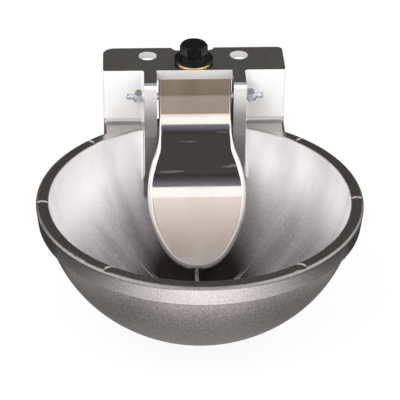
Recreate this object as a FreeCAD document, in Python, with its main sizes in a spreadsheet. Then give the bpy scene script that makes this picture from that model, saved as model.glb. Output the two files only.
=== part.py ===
import FreeCAD, Part
import math
import os

import Sketcher
from FreeCAD import Placement, Rotation, Vector

# Wall-mounted drinking bowl with a tongue-operated valve.
#
# Part frame: the origin is the middle of the two bolt holes, on the top face of the bracket plate.
# +Z is up, the bowl lies towards -Y and the wall towards +Y.
# Most places below are given from the bowl's own centre, on the plane of the rim.

os.makedirs("parts", exist_ok=True)
doc = FreeCAD.newDocument("DrinkingBowl")

# Driving dimensions, in millimetres and degrees
SIZES = (
    # bowl
    ("rim_radius", 130.8, "outer radius of the rim band at the top"),
    ("band_taper", 1.8, "how much slimmer the rim band is at its lower edge"),
    ("band_stand", 5.5, "how far the rim band stands out from the bowl's side"),
    ("band_height", 17.0, "height of the rim band"),
    ("outer_round", 2.5, "rounding of the rim's outer edge and of the bracket's upright front corners"),
    ("rim_inner_round", 1.0, "rounding of the rim's inner edge"),
    ("band_foot_round", 1.5, "rounding of the band's lower edge"),
    ("bowl_depth", 116.0, "rim plane to the outside of the bottom"),
    ("bowl_side_radius", 114.0, "outer radius of the side's arc"),
    ("bowl_blend_angle", 45.0, "angle from straight down where bottom and side meet"),
    ("casting_wall", 5.0, "wall of the bowl"),
    ("floor_rib_count", 8, "ribs that fan out from the middle of the floor"),
    ("floor_rib_width", 3.0, "width of a floor rib"),
    ("floor_rib_height", 1.5, "height of a floor rib above the floor"),
    ("floor_rib_start", 6.0, "angle from straight down where a floor rib starts"),
    ("floor_rib_end", 35.0, "angle from straight down where a floor rib ends"),
    ("rim_mark_radius", 5.0, "radius of the round gate marks in the rim's top"),
    ("rim_mark_depth", 0.8, "depth of a gate mark at its deep end"),
    ("rim_mark_front", 34.5, "angle of the first pair of gate marks from the front"),
    ("rim_mark_side", 86.5, "angle of the second pair of gate marks from the front"),
    ("rim_mark_back", 134.5, "angle of the third pair of gate marks from the front"),
    # bracket
    ("rim_to_wall", 35.2, "rear of the rim to the face that meets the wall"),
    ("bolt_setback", 15.0, "wall to the bolt line"),
    ("wing_setback", 42.2, "wall to the front face of the wings"),
    ("pad_setback", 7.0, "wall to the rear end of the valve pad"),
    ("axle_setback", 54.0, "wall to the axle"),
    ("valve_setback", 26.0, "wall to the valve body's axis"),
    ("plate_height", 49.0, "rim plane to the top face of the plate"),
    ("plate_thickness", 6.0, "thickness of the plate"),
    ("bracket_width", 153.8, "width over the two cheeks"),
    ("bracket_wall", 5.5, "wall of the wings and cheeks"),
    ("cheek_drop", 42.0, "rim plane to the lowest point of a cheek at the wall"),
    ("cheek_root", 62.0, "rim plane to the lowest point of a cheek on the bowl"),
    ("plate_left_corner", 10.0, "rounding of the plate's rear left corner"),
    ("plate_right_corner", 5.0, "rounding of the plate's rear right corner"),
    ("bolt_spacing", 78.0, "distance between the bolt holes"),
    ("bolt_hole_radius", 7.8, "radius of a bolt hole"),
    ("notch_width", 36.0, "width of the pipe notch in the plate's rear edge"),
    ("notch_depth", 5.0, "depth of the pipe notch"),
    # lugs and pivot
    ("lug_gap", 64.0, "clear width between the two lugs"),
    ("lug_width", 10.5, "width of a lug"),
    ("lug_ahead", 14.5, "axle to the front face of the lugs"),
    ("lug_corner", 4.5, "rounding of a lug's top front corner"),
    ("lug_root", 52.0, "rim plane to the depth where the lug's rib sinks into the wall"),
    ("hollow_round", 3.0, "hollow rounding between lug, wing, rim and bowl"),
    ("axle_drop", 18.0, "plate top to the axle"),
    ("axle_radius", 3.0, "radius of the axle"),
    ("thread_stub", 6.2, "length of the axle's thread outside the nut"),
    ("axle_chamfer", 0.6, "chamfer on the axle's ends"),
    ("thread_core_radius", 2.5, "core radius of the axle's threaded ends"),
    ("running_fit", 0.06, "radial clearance of a turning fit"),
    ("seat_gap", 0.02, "radial clearance of a piece that stays put"),
    ("bush_radius", 5.0, "outer radius of a lug bush"),
    ("bush_nose_radius", 4.0, "radius of the bush's nose outside the lug"),
    ("bush_nose", 2.3, "length of the bush's nose outside the lug"),
    ("nut_flats", 11.0, "width across the flats of an axle nut"),
    ("nut_hex_height", 4.6, "height of the axle nut's hexagon"),
    ("nut_collar_height", 1.9, "height of the axle nut's clamping collar"),
    ("nut_collar_radius", 4.9, "radius of the axle nut's clamping collar"),
    ("sleeve_wall", 0.9, "wall of the pivot sleeve and its turning fit"),
    ("sleeve_gap", 0.3, "gap between the pivot sleeve and the upper face"),
    # tongue
    ("sheet", 1.5, "thickness of the tongue's sheet"),
    ("tongue_side_gap", 1.6, "gap between the tongue's neck and a lug"),
    ("lip_drop", 9.4, "plate top to the underside of the valve pad"),
    ("face_lean", 26.0, "lean of the tongue's upper face from upright"),
    ("face_rise", 14.0, "axle to the top end of the upper face, along the face"),
    ("face_top_depth", 3.2, "depth of the flange at the top end of the upper face"),
    ("knee_drop", 19.5, "axle to the corner point of the hollow bend"),
    ("knee_radius", 45.0, "radius of the hollow bend"),
    ("slope_angle", 50.0, "lean of the sloping stretch from upright"),
    ("crest_ahead", 40.7, "corner point of the hollow bend to that of the crest bend"),
    ("crest_radius", 58.0, "radius of the crest bend"),
    ("spoon_angle", 30.0, "lean of the spoon from upright"),
    ("spoon_centre", 7.9, "crest corner point to the spoon's centre, along the spoon"),
    ("spoon_half_width", 41.0, "half the width of the spoon"),
    ("spoon_length", 63.0, "spoon's centre to its tip"),
    ("spoon_tip_radius", 31.0, "radius of the spoon's tip"),
    ("spoon_side_radius", 88.0, "radius of the spoon's sides"),
    ("neck_radius", 55.0, "radius of the hollow between spoon and neck"),
    ("flange_depth", 6.2, "depth of the turned-back flange"),
    ("flange_round", 4.5, "rounding between the spoon's face and its flange"),
    ("neck_round", 1.9, "rounding between the neck's face and its sides"),
    ("ear_radius", 8.5, "radius of the ears round the axle"),
    # valve
    ("nozzle_drop", 18.0, "axle to the nozzle's axis"),
    ("body_radius", 13.0, "outer radius of the valve body"),
    ("body_flange_step", 1.5, "how far the valve body's collar stands out"),
    ("body_flange_height", 2.0, "height of the valve body's collar"),
    ("body_length", 61.0, "plate top to the lower end of the valve body"),
    ("port_radius", 9.32, "bore radius of the two pipe threads"),
    ("port_depth", 14.0, "depth of a pipe thread"),
    ("chamber_radius", 6.2, "radius of the valve chamber"),
    ("recess_clearance", 2.0, "gap round the valve body in the bowl's rim"),
    ("flat_depth", 1.8, "depth of the flat milled on the valve body's front"),
    ("spot_face_radius", 10.2, "radius of the round foot of that flat"),
    ("ring_groove_depth", 1.0, "depth of the retaining ring's groove"),
    ("ring_thickness", 1.2, "thickness of the retaining ring"),
    ("ring_width", 2.6, "radial width of the retaining ring"),
    ("ring_opening", 90.0, "angle that the retaining ring leaves open at the front"),
    ("nozzle_thread_radius", 7.0, "radius of the nozzle's thread"),
    ("washer_thickness", 1.0, "thickness of the nozzle's washer"),
    ("nozzle_flats", 17.0, "width across the flats of the nozzle"),
    ("nozzle_hex_height", 6.0, "height of the nozzle's hexagon"),
    ("nozzle_snout", 8.8, "length of the nozzle in front of the hexagon"),
    ("nozzle_snout_radius", 6.6, "radius of the nozzle's snout"),
    ("nozzle_bore_radius", 4.2, "bore of the nozzle"),
    ("seat_radius", 5.3, "outer radius of the valve seat"),
    ("seat_bore_radius", 2.9, "bore of the valve seat"),
    ("seat_length", 3.1, "length of the valve seat"),
    ("seat_stand", 0.3, "how far the seat stands out of the nozzle"),
    ("guide_radius", 5.6, "radius of the stem guide inside the nozzle"),
    ("guide_length", 5.0, "length of the stem guide inside the nozzle"),
    ("guide_flange", 1.5, "thickness of the stem guide's flange"),
    ("guide_hole_radius", 1.3, "radius of a water hole in the stem guide"),
    ("guide_hole_count", 4, "water holes in the stem guide"),
    ("stem_radius", 1.95, "radius of the valve stem"),
    ("stem_tail_radius", 1.2, "radius of the stem's threaded tail"),
    ("stem_collar_radius", 2.4, "radius of the stem's collar"),
    ("stem_collar", 0.8, "length of the stem's collar"),
    ("stem_contact_gap", 0.3, "gap between the stem's tip and the tongue at rest"),
    ("disc_radius", 5.0, "radius of the rubber seal disc"),
    ("disc_thickness", 2.2, "thickness of the rubber seal disc"),
    ("disc_seat_gap", 0.1, "gap between the seal disc and its seat"),
    ("holder_thickness", 1.4, "thickness of the disc holder's flange"),
    ("holder_spigot", 2.4, "length of the disc holder's spigot"),
    ("holder_spigot_radius", 2.6, "radius of the disc holder's spigot"),
    ("spring_wire", 0.9, "wire diameter of the valve spring"),
    ("spring_coil_radius", 3.8, "radius to the middle of the spring's wire"),
    ("spring_turns", 4.0, "turns of the valve spring"),
    # plug
    ("plug_flange_radius", 16.5, "radius of the plug's flange"),
    ("plug_flange_height", 2.2, "height of the plug's flange at its rim"),
    ("plug_cone_height", 2.6, "height of the hollow cone above the flange"),
    ("plug_neck_radius", 11.2, "radius where cone and head meet"),
    ("plug_flats", 20.5, "width across the flats of the plug's head"),
    ("plug_head_height", 10.0, "height of the plug's hexagon"),
    ("plug_head_chamfer", 1.6, "chamfer on the head's top"),
    ("plug_shank_length", 11.0, "length of the plug's threaded shank"),
    ("plug_wall", 2.4, "wall of the hollow shank"),
    ("plug_seal_wire", 1.8, "section of the plug's sealing ring"),
)

sheet = doc.addObject("Spreadsheet::Sheet", "Sizes")
for row, (alias, number, meaning) in enumerate(SIZES, start=1):
    sheet.set(f"A{row}", meaning)
    sheet.set(f"B{row}", str(number))
    sheet.setAlias(f"B{row}", alias)
doc.recompute()


class Dim:
    """A size with its value and the expression that gives it from the sheet."""

    def __init__(self, value, text):
        self.value = float(value)
        self.text = text

    def join(self, other, sign, result):
        return Dim(result, f"({self.text} {sign} {other.text})")

    def __add__(self, other):
        other = dim(other)
        return self.join(other, "+", self.value + other.value)

    def __sub__(self, other):
        other = dim(other)
        return self.join(other, "-", self.value - other.value)

    def __mul__(self, other):
        other = dim(other)
        return self.join(other, "*", self.value * other.value)

    def __truediv__(self, other):
        other = dim(other)
        return self.join(other, "/", self.value / other.value)

    def __radd__(self, other):
        return dim(other) + self

    def __rsub__(self, other):
        return dim(other) - self

    def __rmul__(self, other):
        return dim(other) * self

    def __neg__(self):
        return Dim(-self.value, f"(0 - {self.text})")


def dim(number):
    """A plain number as a Dim, or the Dim itself."""
    return number if isinstance(number, Dim) else Dim(number, repr(float(number)))


def size(alias):
    """The size that the sheet keeps under this alias."""
    return Dim(sheet.get(alias), f"Sizes.{alias}")


def root(square):
    return Dim(math.sqrt(square.value), f"sqrt({square.text})")


def sine(angle):
    return Dim(math.sin(math.radians(angle.value)), f"sin({angle.text})")


def cosine(angle):
    return Dim(math.cos(math.radians(angle.value)), f"cos({angle.text})")


def tangent(angle):
    return Dim(math.tan(math.radians(angle.value)), f"tan({angle.text})")


def bind(item, prop, amount):
    """Bind a property of a document object to the sheet."""
    item.setExpression(prop, dim(amount).text)


# Sketches
ZERO = dim(0)
UPRIGHT = Rotation()
ALONG_X = Rotation(Vector(0, 1, 0), 90)
AGAINST_X = Rotation(Vector(0, 1, 0), -90)
AGAINST_Y = Rotation(Vector(1, 0, 0), 90)
SIDE_VIEW = Rotation(Vector(1, 1, 1), 120)


def origin_item(body, role):
    """One of a body's own origin planes or axes."""
    return next(item for item in body.Origin.OriginFeatures if item.Role == role)


def body_sketch(body, name, role, offset=ZERO):
    """A sketch on one of the body's own origin planes, moved along the plane's normal."""
    sketch = body.newObject("Sketcher::SketchObject", name)
    sketch.AttachmentSupport = [(origin_item(body, role), "")]
    sketch.MapMode = "FlatFace"
    bind(sketch, "AttachmentOffset.Base.z", offset)
    return sketch


class Outline:
    """A closed outline whose corner points and radii are bound to the sheet."""

    def __init__(self, sketch, u, v):
        self.sketch = sketch
        self.points = [(dim(u), dim(v))]
        self.pieces = []

    def line(self, u, v):
        self.points.append((dim(u), dim(v)))
        self.pieces.append(None)
        return self

    def arc(self, u, v, radius, turn):
        """An arc of less than half a turn to (u, v); turn is 'left' or 'right' along the path."""
        self.points.append((dim(u), dim(v)))
        self.pieces.append((dim(radius), turn))
        return self

    def close(self, radius=None, turn=None):
        self.pieces.append(None if radius is None else (dim(radius), turn))
        count = len(self.points)
        ends = [self.draw(index, self.points[(index + 1) % count]) for index in range(count)]
        for index in range(count):
            geo, first, last, _ = ends[index]
            next_geo, next_first, _, _ = ends[(index + 1) % count]
            self.sketch.addConstraint(Sketcher.Constraint("Coincident", geo, last, next_geo, next_first))
        for index, (geo, first, last, arc_radius) in enumerate(ends):
            u, v = self.points[index]
            self.tie("DistanceX", geo, first, u, f"u{index}")
            self.tie("DistanceY", geo, first, v, f"v{index}")
            if arc_radius is not None:
                self.tie("Radius", geo, None, arc_radius, f"r{index}")
        return self.sketch

    def draw(self, index, end):
        start = Vector(self.points[index][0].value, self.points[index][1].value, 0)
        end = Vector(end[0].value, end[1].value, 0)
        piece = self.pieces[index]
        if piece is None:
            return self.sketch.addGeometry(Part.LineSegment(start, end), False), 1, 2, None
        radius, turn = piece
        chord = end - start
        across = Vector(-chord.y, chord.x, 0).normalize()
        height = math.sqrt(max(radius.value ** 2 - (chord.Length / 2) ** 2, 0))
        centre = (start + end) / 2 + across * (height if turn == "left" else -height)
        circle = Part.Circle(centre, Vector(0, 0, 1), radius.value)
        low, high = (start, end) if turn == "left" else (end, start)
        first_angle = math.atan2(low.y - centre.y, low.x - centre.x)
        last_angle = math.atan2(high.y - centre.y, high.x - centre.x)
        if last_angle <= first_angle:
            last_angle += 2 * math.pi
        geo = self.sketch.addGeometry(Part.ArcOfCircle(circle, first_angle, last_angle), False)
        return (geo, 1, 2, radius) if turn == "left" else (geo, 2, 1, radius)

    def tie(self, kind, geo, point, amount, name):
        if point is None:
            constraint = Sketcher.Constraint(kind, geo, amount.value)
        else:
            constraint = Sketcher.Constraint(kind, geo, point, amount.value)
        index = self.sketch.addConstraint(constraint)
        self.sketch.renameConstraint(index, name)
        bind(self.sketch, f"Constraints.{name}", amount)


def circle_in(sketch, u, v, radius, tag="c"):
    """A full circle, with its centre and radius bound to the sheet."""
    u, v, radius = dim(u), dim(v), dim(radius)
    circle = Part.Circle(Vector(u.value, v.value, 0), Vector(0, 0, 1), radius.value)
    geo = sketch.addGeometry(circle, False)
    for kind, constraint, amount in (
        ("u", Sketcher.Constraint("DistanceX", geo, 3, u.value), u),
        ("v", Sketcher.Constraint("DistanceY", geo, 3, v.value), v),
        ("r", Sketcher.Constraint("Radius", geo, radius.value), radius),
    ):
        index = sketch.addConstraint(constraint)
        sketch.renameConstraint(index, f"{tag}{kind}")
        bind(sketch, f"Constraints.{tag}{kind}", amount)
    return sketch


# Placing and features
def in_bowl(item, rotation, x, y, z):
    """Place an item by a point given from the bowl's centre on the rim plane."""
    x, y, z = dim(x), dim(y) - bolt_y, dim(z) - size("plate_height")
    item.Placement = Placement(Vector(x.value, y.value, z.value), rotation)
    bind(item, "Placement.Base.x", x)
    bind(item, "Placement.Base.y", y)
    bind(item, "Placement.Base.z", z)
    return item


def new_body(label, rotation=UPRIGHT, x=0, y=0, z=0):
    body = doc.addObject("PartDesign::Body", label)
    body.Label = label
    return in_bowl(body, rotation, x, y, z)


def pad(body, name, sketch, length, kind="PartDesign::Pad", reverse=False, middle=False):
    """A pad or a pocket of the sketch."""
    feature = body.newObject(kind, name)
    feature.Profile = sketch
    feature.SideType = "Symmetric" if middle else "One side"
    feature.Reversed = reverse
    bind(feature, "Length", length)
    sketch.Visibility = False
    return feature


def revolve(body, name, sketch, kind="PartDesign::Revolution", opening=None):
    """A solid or a groove of revolution about the sketch's upright axis, opposite an opening if one is given."""
    feature = body.newObject(kind, name)
    feature.Profile = sketch
    feature.ReferenceAxis = (sketch, ["V_Axis"])
    feature.Midplane = opening is not None
    bind(feature, "Angle", 360 if opening is None else 360 - opening)
    return feature


def cylinder(body, name, radius, height, rotation, x, y, z, kind="Subtractive"):
    """A cylinder added to or cut from a body; it runs from (x, y, z) along the turned Z axis."""
    feature = body.newObject(f"PartDesign::{kind}Cylinder", name)
    bind(feature, "Radius", radius)
    bind(feature, "Height", height)
    x, y, z = dim(x), dim(y), dim(z)
    feature.Placement = Placement(Vector(x.value, y.value, z.value), rotation)
    bind(feature, "Placement.Base.x", x)
    bind(feature, "Placement.Base.y", y)
    bind(feature, "Placement.Base.z", z)
    return feature


def hexagon(body, name, flats, height, z):
    """A hexagonal prism on the body's Z axis, by its width across flats."""
    feature = body.newObject("PartDesign::AdditivePrism", name)
    feature.Polygon = 6
    bind(feature, "Circumradius", dim(flats) / 2 / cosine(dim(30)))
    bind(feature, "Height", height)
    feature.Placement = Placement(Vector(0, 0, dim(z).value), UPRIGHT)
    bind(feature, "Placement.Base.z", z)
    return feature


def mirror(body, name, features, role="YZ_Plane"):
    feature = body.newObject("PartDesign::Mirrored", name)
    feature.Originals = features
    feature.MirrorPlane = (origin_item(body, role), [""])
    body.Tip = feature
    return feature


def around(body, name, features, count):
    """Copies of the features, evenly spaced about the body's Z axis."""
    feature = body.newObject("PartDesign::PolarPattern", name)
    feature.Originals = features
    feature.Axis = (origin_item(body, "Z_Axis"), [""])
    feature.Angle = 360
    bind(feature, "Occurrences", count)
    body.Tip = feature
    return feature


def round_edges(body, name, test, radius):
    """Round the edges of the body's latest shape that pass the test."""
    doc.recompute()
    base = body.Tip
    names = [f"Edge{n}" for n, edge in enumerate(base.Shape.Edges, start=1) if test(edge)]
    if not names:
        raise ValueError(f"no edge found for {name}")
    feature = body.newObject("PartDesign::Fillet", name)
    feature.Base = (base, names)
    bind(feature, "Radius", radius)
    doc.recompute()
    if not feature.isValid():
        raise ValueError(f"{name} could not be made")
    return feature


def turned(label, points, rotation=UPRIGHT, x=0, y=0, z=0):
    """A turned piece: an outline of (radius, height) points revolved about its own Z axis."""
    body = new_body(label, rotation, x, y, z)
    sketch = body_sketch(body, f"{label}_outline", "XZ_Plane")
    outline = Outline(sketch, *points[0])
    for point in points[1:]:
        outline.line(*point)
    outline.close()
    revolve(body, f"{label}_turning", sketch)
    return body


def ring_test(radius, height, spread=0.4):
    """A test for edges that lie wholly on one level circle round the Z axis."""

    def test(edge):
        for parameter in (edge.FirstParameter, (edge.FirstParameter + edge.LastParameter) / 2):
            point = edge.valueAt(parameter)
            if abs(point.z - height) > spread / 4 or abs(math.hypot(point.x, point.y) - radius) > spread:
                return False
        return True

    return test


pieces = []


# Sizes that several pieces share
half_bracket = size("bracket_width") / 2
half_gap = size("lug_gap") / 2
lug_outside = half_gap + size("lug_width")

# heights above the rim plane
plate_under = size("plate_height") - size("plate_thickness")
axle_z = size("plate_height") - size("axle_drop")
lip_under = size("plate_height") - size("lip_drop")
knee_z = axle_z - size("knee_drop")
nozzle_z = axle_z - size("nozzle_drop")

# setbacks from the bowl's centre
wall_y = size("rim_radius") + size("rim_to_wall")
bolt_y = wall_y - size("bolt_setback")
wing_y = wall_y - size("wing_setback")
pad_end_y = wall_y - size("pad_setback")
axle_y = wall_y - size("axle_setback")
valve_y = wall_y - size("valve_setback")
lug_y = axle_y - size("lug_ahead")
# the upper face leans over the sleeve on the axle
face_reach = size("axle_radius") + size("sleeve_wall") + size("sleeve_gap") + size("sheet")
knee_y = axle_y - face_reach / cosine(size("face_lean")) - size("knee_drop") * tangent(size("face_lean"))
crest_y = knee_y - size("crest_ahead")
flat_reach = size("body_radius") - size("flat_depth")

# the bowl's section: a sphere for the bottom, blended into a side that ends under the band
band_foot_radius = size("rim_radius") - size("band_taper")
blend_sine = sine(size("bowl_blend_angle"))
side_reach = size("rim_radius") - size("band_stand")
bottom_radius = (side_reach - size("bowl_side_radius") * (1 - blend_sine)) / blend_sine
side_shift = bottom_radius - size("bowl_side_radius")
side_centre_r = side_shift * blend_sine
bottom_centre_z = bottom_radius - size("bowl_depth")
side_centre_z = bottom_centre_z - side_shift * cosine(size("bowl_blend_angle"))


def bowl_radius_at(z, inset):
    """Radius of the bowl's side at a height, set in from the outside by inset."""
    reach = size("bowl_side_radius") - inset
    rise = z - side_centre_z
    return side_centre_r + root(reach * reach - rise * rise)


def bowl_blend_point(inset):
    """The point where bottom and side meet, set in from the outside by inset."""
    reach = bottom_radius - inset
    angle = size("bowl_blend_angle")
    return reach * sine(angle), bottom_centre_z - reach * cosine(angle)


def make_bowl():
    body = new_body("bowl_casting")
    band_foot = -size("band_height")
    wall = size("casting_wall")

    # outside of the bowl as one solid of revolution
    sketch = body_sketch(body, "bowl_outside", "XZ_Plane")
    blend_r, blend_z = bowl_blend_point(ZERO)
    outline = Outline(sketch, 0, -size("bowl_depth"))
    outline.arc(blend_r, blend_z, bottom_radius, "left")
    outline.arc(bowl_radius_at(band_foot, ZERO), band_foot, size("bowl_side_radius"), "left")
    outline.line(band_foot_radius, band_foot)
    outline.line(size("rim_radius"), 0)
    outline.line(0, 0)
    outline.close()
    revolve(body, "bowl_turning", sketch)

    # shelf that carries the rim plane back to the wings
    shelf_radius = size("rim_radius") - size("casting_wall")
    shelf_join = root(shelf_radius * shelf_radius - half_bracket * half_bracket)
    shelf_end = wing_y + size("bracket_wall")
    sketch = body_sketch(body, "shelf_outline", "XY_Plane")
    outline = Outline(sketch, half_bracket, shelf_join)
    outline.arc(-half_bracket, shelf_join, shelf_radius, "left")
    outline.line(-half_bracket, shelf_end)
    outline.line(half_bracket, shelf_end)
    outline.close()
    pad(body, "shelf", sketch, size("plate_thickness"), reverse=True)

    # wings, with the opening between the lugs
    sketch = body_sketch(body, "wing_outline", "XZ_Plane", -shelf_end)
    foot = -size("plate_thickness")
    outline = Outline(sketch, -half_bracket, foot)
    outline.line(-half_bracket, size("plate_height"))
    outline.line(half_bracket, size("plate_height"))
    outline.line(half_bracket, foot)
    outline.line(half_gap, foot)
    outline.line(half_gap, lip_under)
    outline.line(-half_gap, lip_under)
    outline.line(-half_gap, foot)
    outline.close()
    pad(body, "wings", sketch, size("bracket_wall"))

    # top plate with rounded rear corners and the pipe notch
    make_plate(body)

    # pad under the plate for the valve body
    sketch = body_sketch(body, "valve_pad_outline", "XY_Plane", lip_under)
    pad_half = half_gap - size("lug_width") / 2
    outline = Outline(sketch, -half_gap, wing_y)
    outline.line(half_gap, wing_y)
    outline.line(pad_half, pad_end_y)
    outline.line(-pad_half, pad_end_y)
    outline.close()
    pad(body, "valve_pad", sketch, plate_under - lip_under + size("plate_thickness") / 2)

    # cheeks that run down from the plate to the back of the bowl
    sketch = body_sketch(body, "cheek_outline", "YZ_Plane", half_bracket - size("bracket_wall"))
    within = shelf_join - wall * 3
    outline = Outline(sketch, wing_y, size("plate_height"))
    outline.line(wing_y, 0)
    outline.line(within, 0)
    outline.line(within, -size("cheek_root") / 2)
    outline.line(within - size("cheek_root") / 3, -size("cheek_root"))
    outline.arc(wall_y - wall, -size("cheek_drop"), wall_y, "right")
    outline.line(wall_y, -size("cheek_drop") + wall)
    outline.line(wall_y, size("plate_height"))
    outline.close()
    cheek = pad(body, "cheek", sketch, size("bracket_wall"))
    mirror(body, "cheeks", [cheek])
    round_rear_corners(body)

    # hollow of the bowl
    sketch = body_sketch(body, "bowl_inside", "XZ_Plane")
    blend_r, blend_z = bowl_blend_point(wall)
    outline = Outline(sketch, 0, wall - size("bowl_depth"))
    outline.arc(blend_r, blend_z, bottom_radius - wall, "left")
    ease = size("rim_inner_round")
    edge_radius = bowl_radius_at(-ease, wall)
    outline.arc(edge_radius, -ease, size("bowl_side_radius") - wall, "left")
    outline.arc(edge_radius + ease, 0, ease, "right")
    outline.line(0, 0)
    outline.close()
    revolve(body, "bowl_hollow", sketch, "PartDesign::Groove")

    make_lugs(body)
    make_floor_ribs(body)
    bore_casting(body)
    finish_casting(body)
    make_rim_marks(body)
    return body


def make_plate(body):
    sketch = body_sketch(body, "plate_outline", "XY_Plane", plate_under)
    rear = wall_y
    notch_half, depth = size("notch_width") / 2, size("notch_depth")
    outline = Outline(sketch, -half_bracket, wing_y)
    outline.line(half_bracket, wing_y)
    outline.line(half_bracket, rear)
    outline.line(notch_half, rear)
    outline.arc(notch_half - depth, rear - depth, depth, "right")
    outline.line(depth - notch_half, rear - depth)
    outline.arc(-notch_half, rear, depth, "right")
    outline.line(-half_bracket, rear)
    outline.close()
    pad(body, "plate", sketch, size("plate_thickness"))


def round_rear_corners(body):
    """Rounded rear corners that run down through plate and cheeks."""
    rear, beyond = wall_y, size("casting_wall")
    for name, sign in (("left", -1), ("right", 1)):
        radius = size(f"plate_{name}_corner")
        edge, outside = sign * half_bracket, sign * (half_bracket + beyond)
        inside = sign * (half_bracket - radius)
        sketch = body_sketch(body, f"rear_corner_{name}_outline", "XY_Plane", size("plate_height"))
        outline = Outline(sketch, edge, rear - radius)
        outline.line(outside, rear - radius)
        outline.line(outside, rear + beyond)
        outline.line(inside, rear + beyond)
        outline.line(inside, rear)
        outline.close(radius, "left" if sign < 0 else "right")
        pad(
            body, f"rear_corner_{name}", sketch, size("plate_height") + size("cheek_root"),
            "PartDesign::Pocket",
        )


def make_lugs(body):
    """Two lugs that carry the axle, running down the bowl's back wall as ribs until they sink into it."""
    corner, root_z = size("lug_corner"), -size("lug_root")
    ledge = -size("plate_thickness") / 2
    sunk = size("casting_wall") / 5

    def back_at(z):
        reach = bowl_radius_at(z, size("casting_wall") - sunk)
        return root(reach * reach - half_gap * half_gap)

    sketch = body_sketch(body, "lug_outline", "YZ_Plane", half_gap)
    outline = Outline(sketch, lug_y + corner, size("plate_height"))
    outline.arc(lug_y, size("plate_height") - corner, corner, "left")
    outline.line(lug_y, 0)
    outline.line(back_at(root_z) - sunk, root_z)
    outline.line(back_at(root_z), root_z)
    outline.arc(back_at(ledge), ledge, size("bowl_side_radius") - size("casting_wall") * 2, "left")
    outline.line(wing_y + size("bracket_wall") / 2, ledge)
    outline.line(wing_y + size("bracket_wall") / 2, size("plate_height"))
    outline.close()
    lug = pad(body, "lug", sketch, size("lug_width"))
    mirror(body, "lugs", [lug])


def make_floor_ribs(body):
    """Low ribs that fan out over the floor."""
    inner = bottom_radius - size("casting_wall")
    top, foot = inner - size("floor_rib_height"), inner + size("casting_wall") / 2
    start, end = size("floor_rib_start"), size("floor_rib_end")
    sketch = body_sketch(body, "floor_rib_outline", "YZ_Plane")
    outline = Outline(sketch, foot * sine(start), bottom_centre_z - foot * cosine(start))
    outline.arc(foot * sine(end), bottom_centre_z - foot * cosine(end), foot, "left")
    outline.line(inner * sine(end), bottom_centre_z - inner * cosine(end))
    outline.arc(top * sine(start), bottom_centre_z - top * cosine(start), top, "right")
    outline.close()
    rib = pad(body, "floor_rib", sketch, size("floor_rib_width"), middle=True)
    around(body, "floor_ribs", [rib], size("floor_rib_count"))


def make_rim_marks(body):
    """Shallow round-ended gate marks, deep at the end away from the front and running out to nothing."""
    reach = (size("rim_radius") + bowl_radius_at(ZERO, size("casting_wall"))) / 2
    tilt = math.degrees(math.atan2(size("rim_mark_depth").value, 2 * size("rim_mark_radius").value))
    for place in ("front", "side", "back"):
        from_front = size(f"rim_mark_{place}")
        for side in (-1, 1):
            turn = side * (from_front.value + math.degrees(size("rim_mark_radius").value / reach.value))
            lean = Rotation(Vector(0, 0, 1), turn).multiply(Rotation(Vector(0, 1, 0), side * tilt))
            angle = side * from_front
            cylinder(
                body, f"rim_mark_{place}_{'left' if side < 0 else 'right'}",
                size("rim_mark_radius"), size("rim_mark_radius"), lean,
                reach * sine(angle), -(reach * cosine(angle)), -size("rim_mark_depth") / 2,
            )


def bore_casting(body):
    # bolt holes through the plate
    hole = cylinder(
        body, "bolt_hole", size("bolt_hole_radius"), size("plate_thickness") * 3, UPRIGHT,
        size("bolt_spacing") / 2, bolt_y, size("plate_height") - size("plate_thickness") * 2,
    )
    mirror(body, "bolt_holes", [hole])
    # bore for the valve body through plate and pad, and its recess in the rim
    cylinder(
        body, "valve_bore", size("body_radius") + size("running_fit"), size("plate_height"), UPRIGHT,
        0, valve_y, lip_under - size("plate_thickness"),
    )
    cylinder(
        body, "valve_recess", size("body_radius") + size("recess_clearance"),
        size("band_height") + lip_under / 2, UPRIGHT, 0, valve_y, -size("band_height") * 2,
    )
    # bores for the bushes through both lugs
    cylinder(
        body, "bush_bore", size("bush_radius"), lug_outside * 2.1, ALONG_X,
        -lug_outside * 1.05, axle_y, axle_z,
    )


def samples(edge):
    """Three points along an edge, its ends left out."""
    span = edge.LastParameter - edge.FirstParameter
    return [edge.valueAt(edge.FirstParameter + span * share) for share in (0.1, 0.5, 0.9)]


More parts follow.
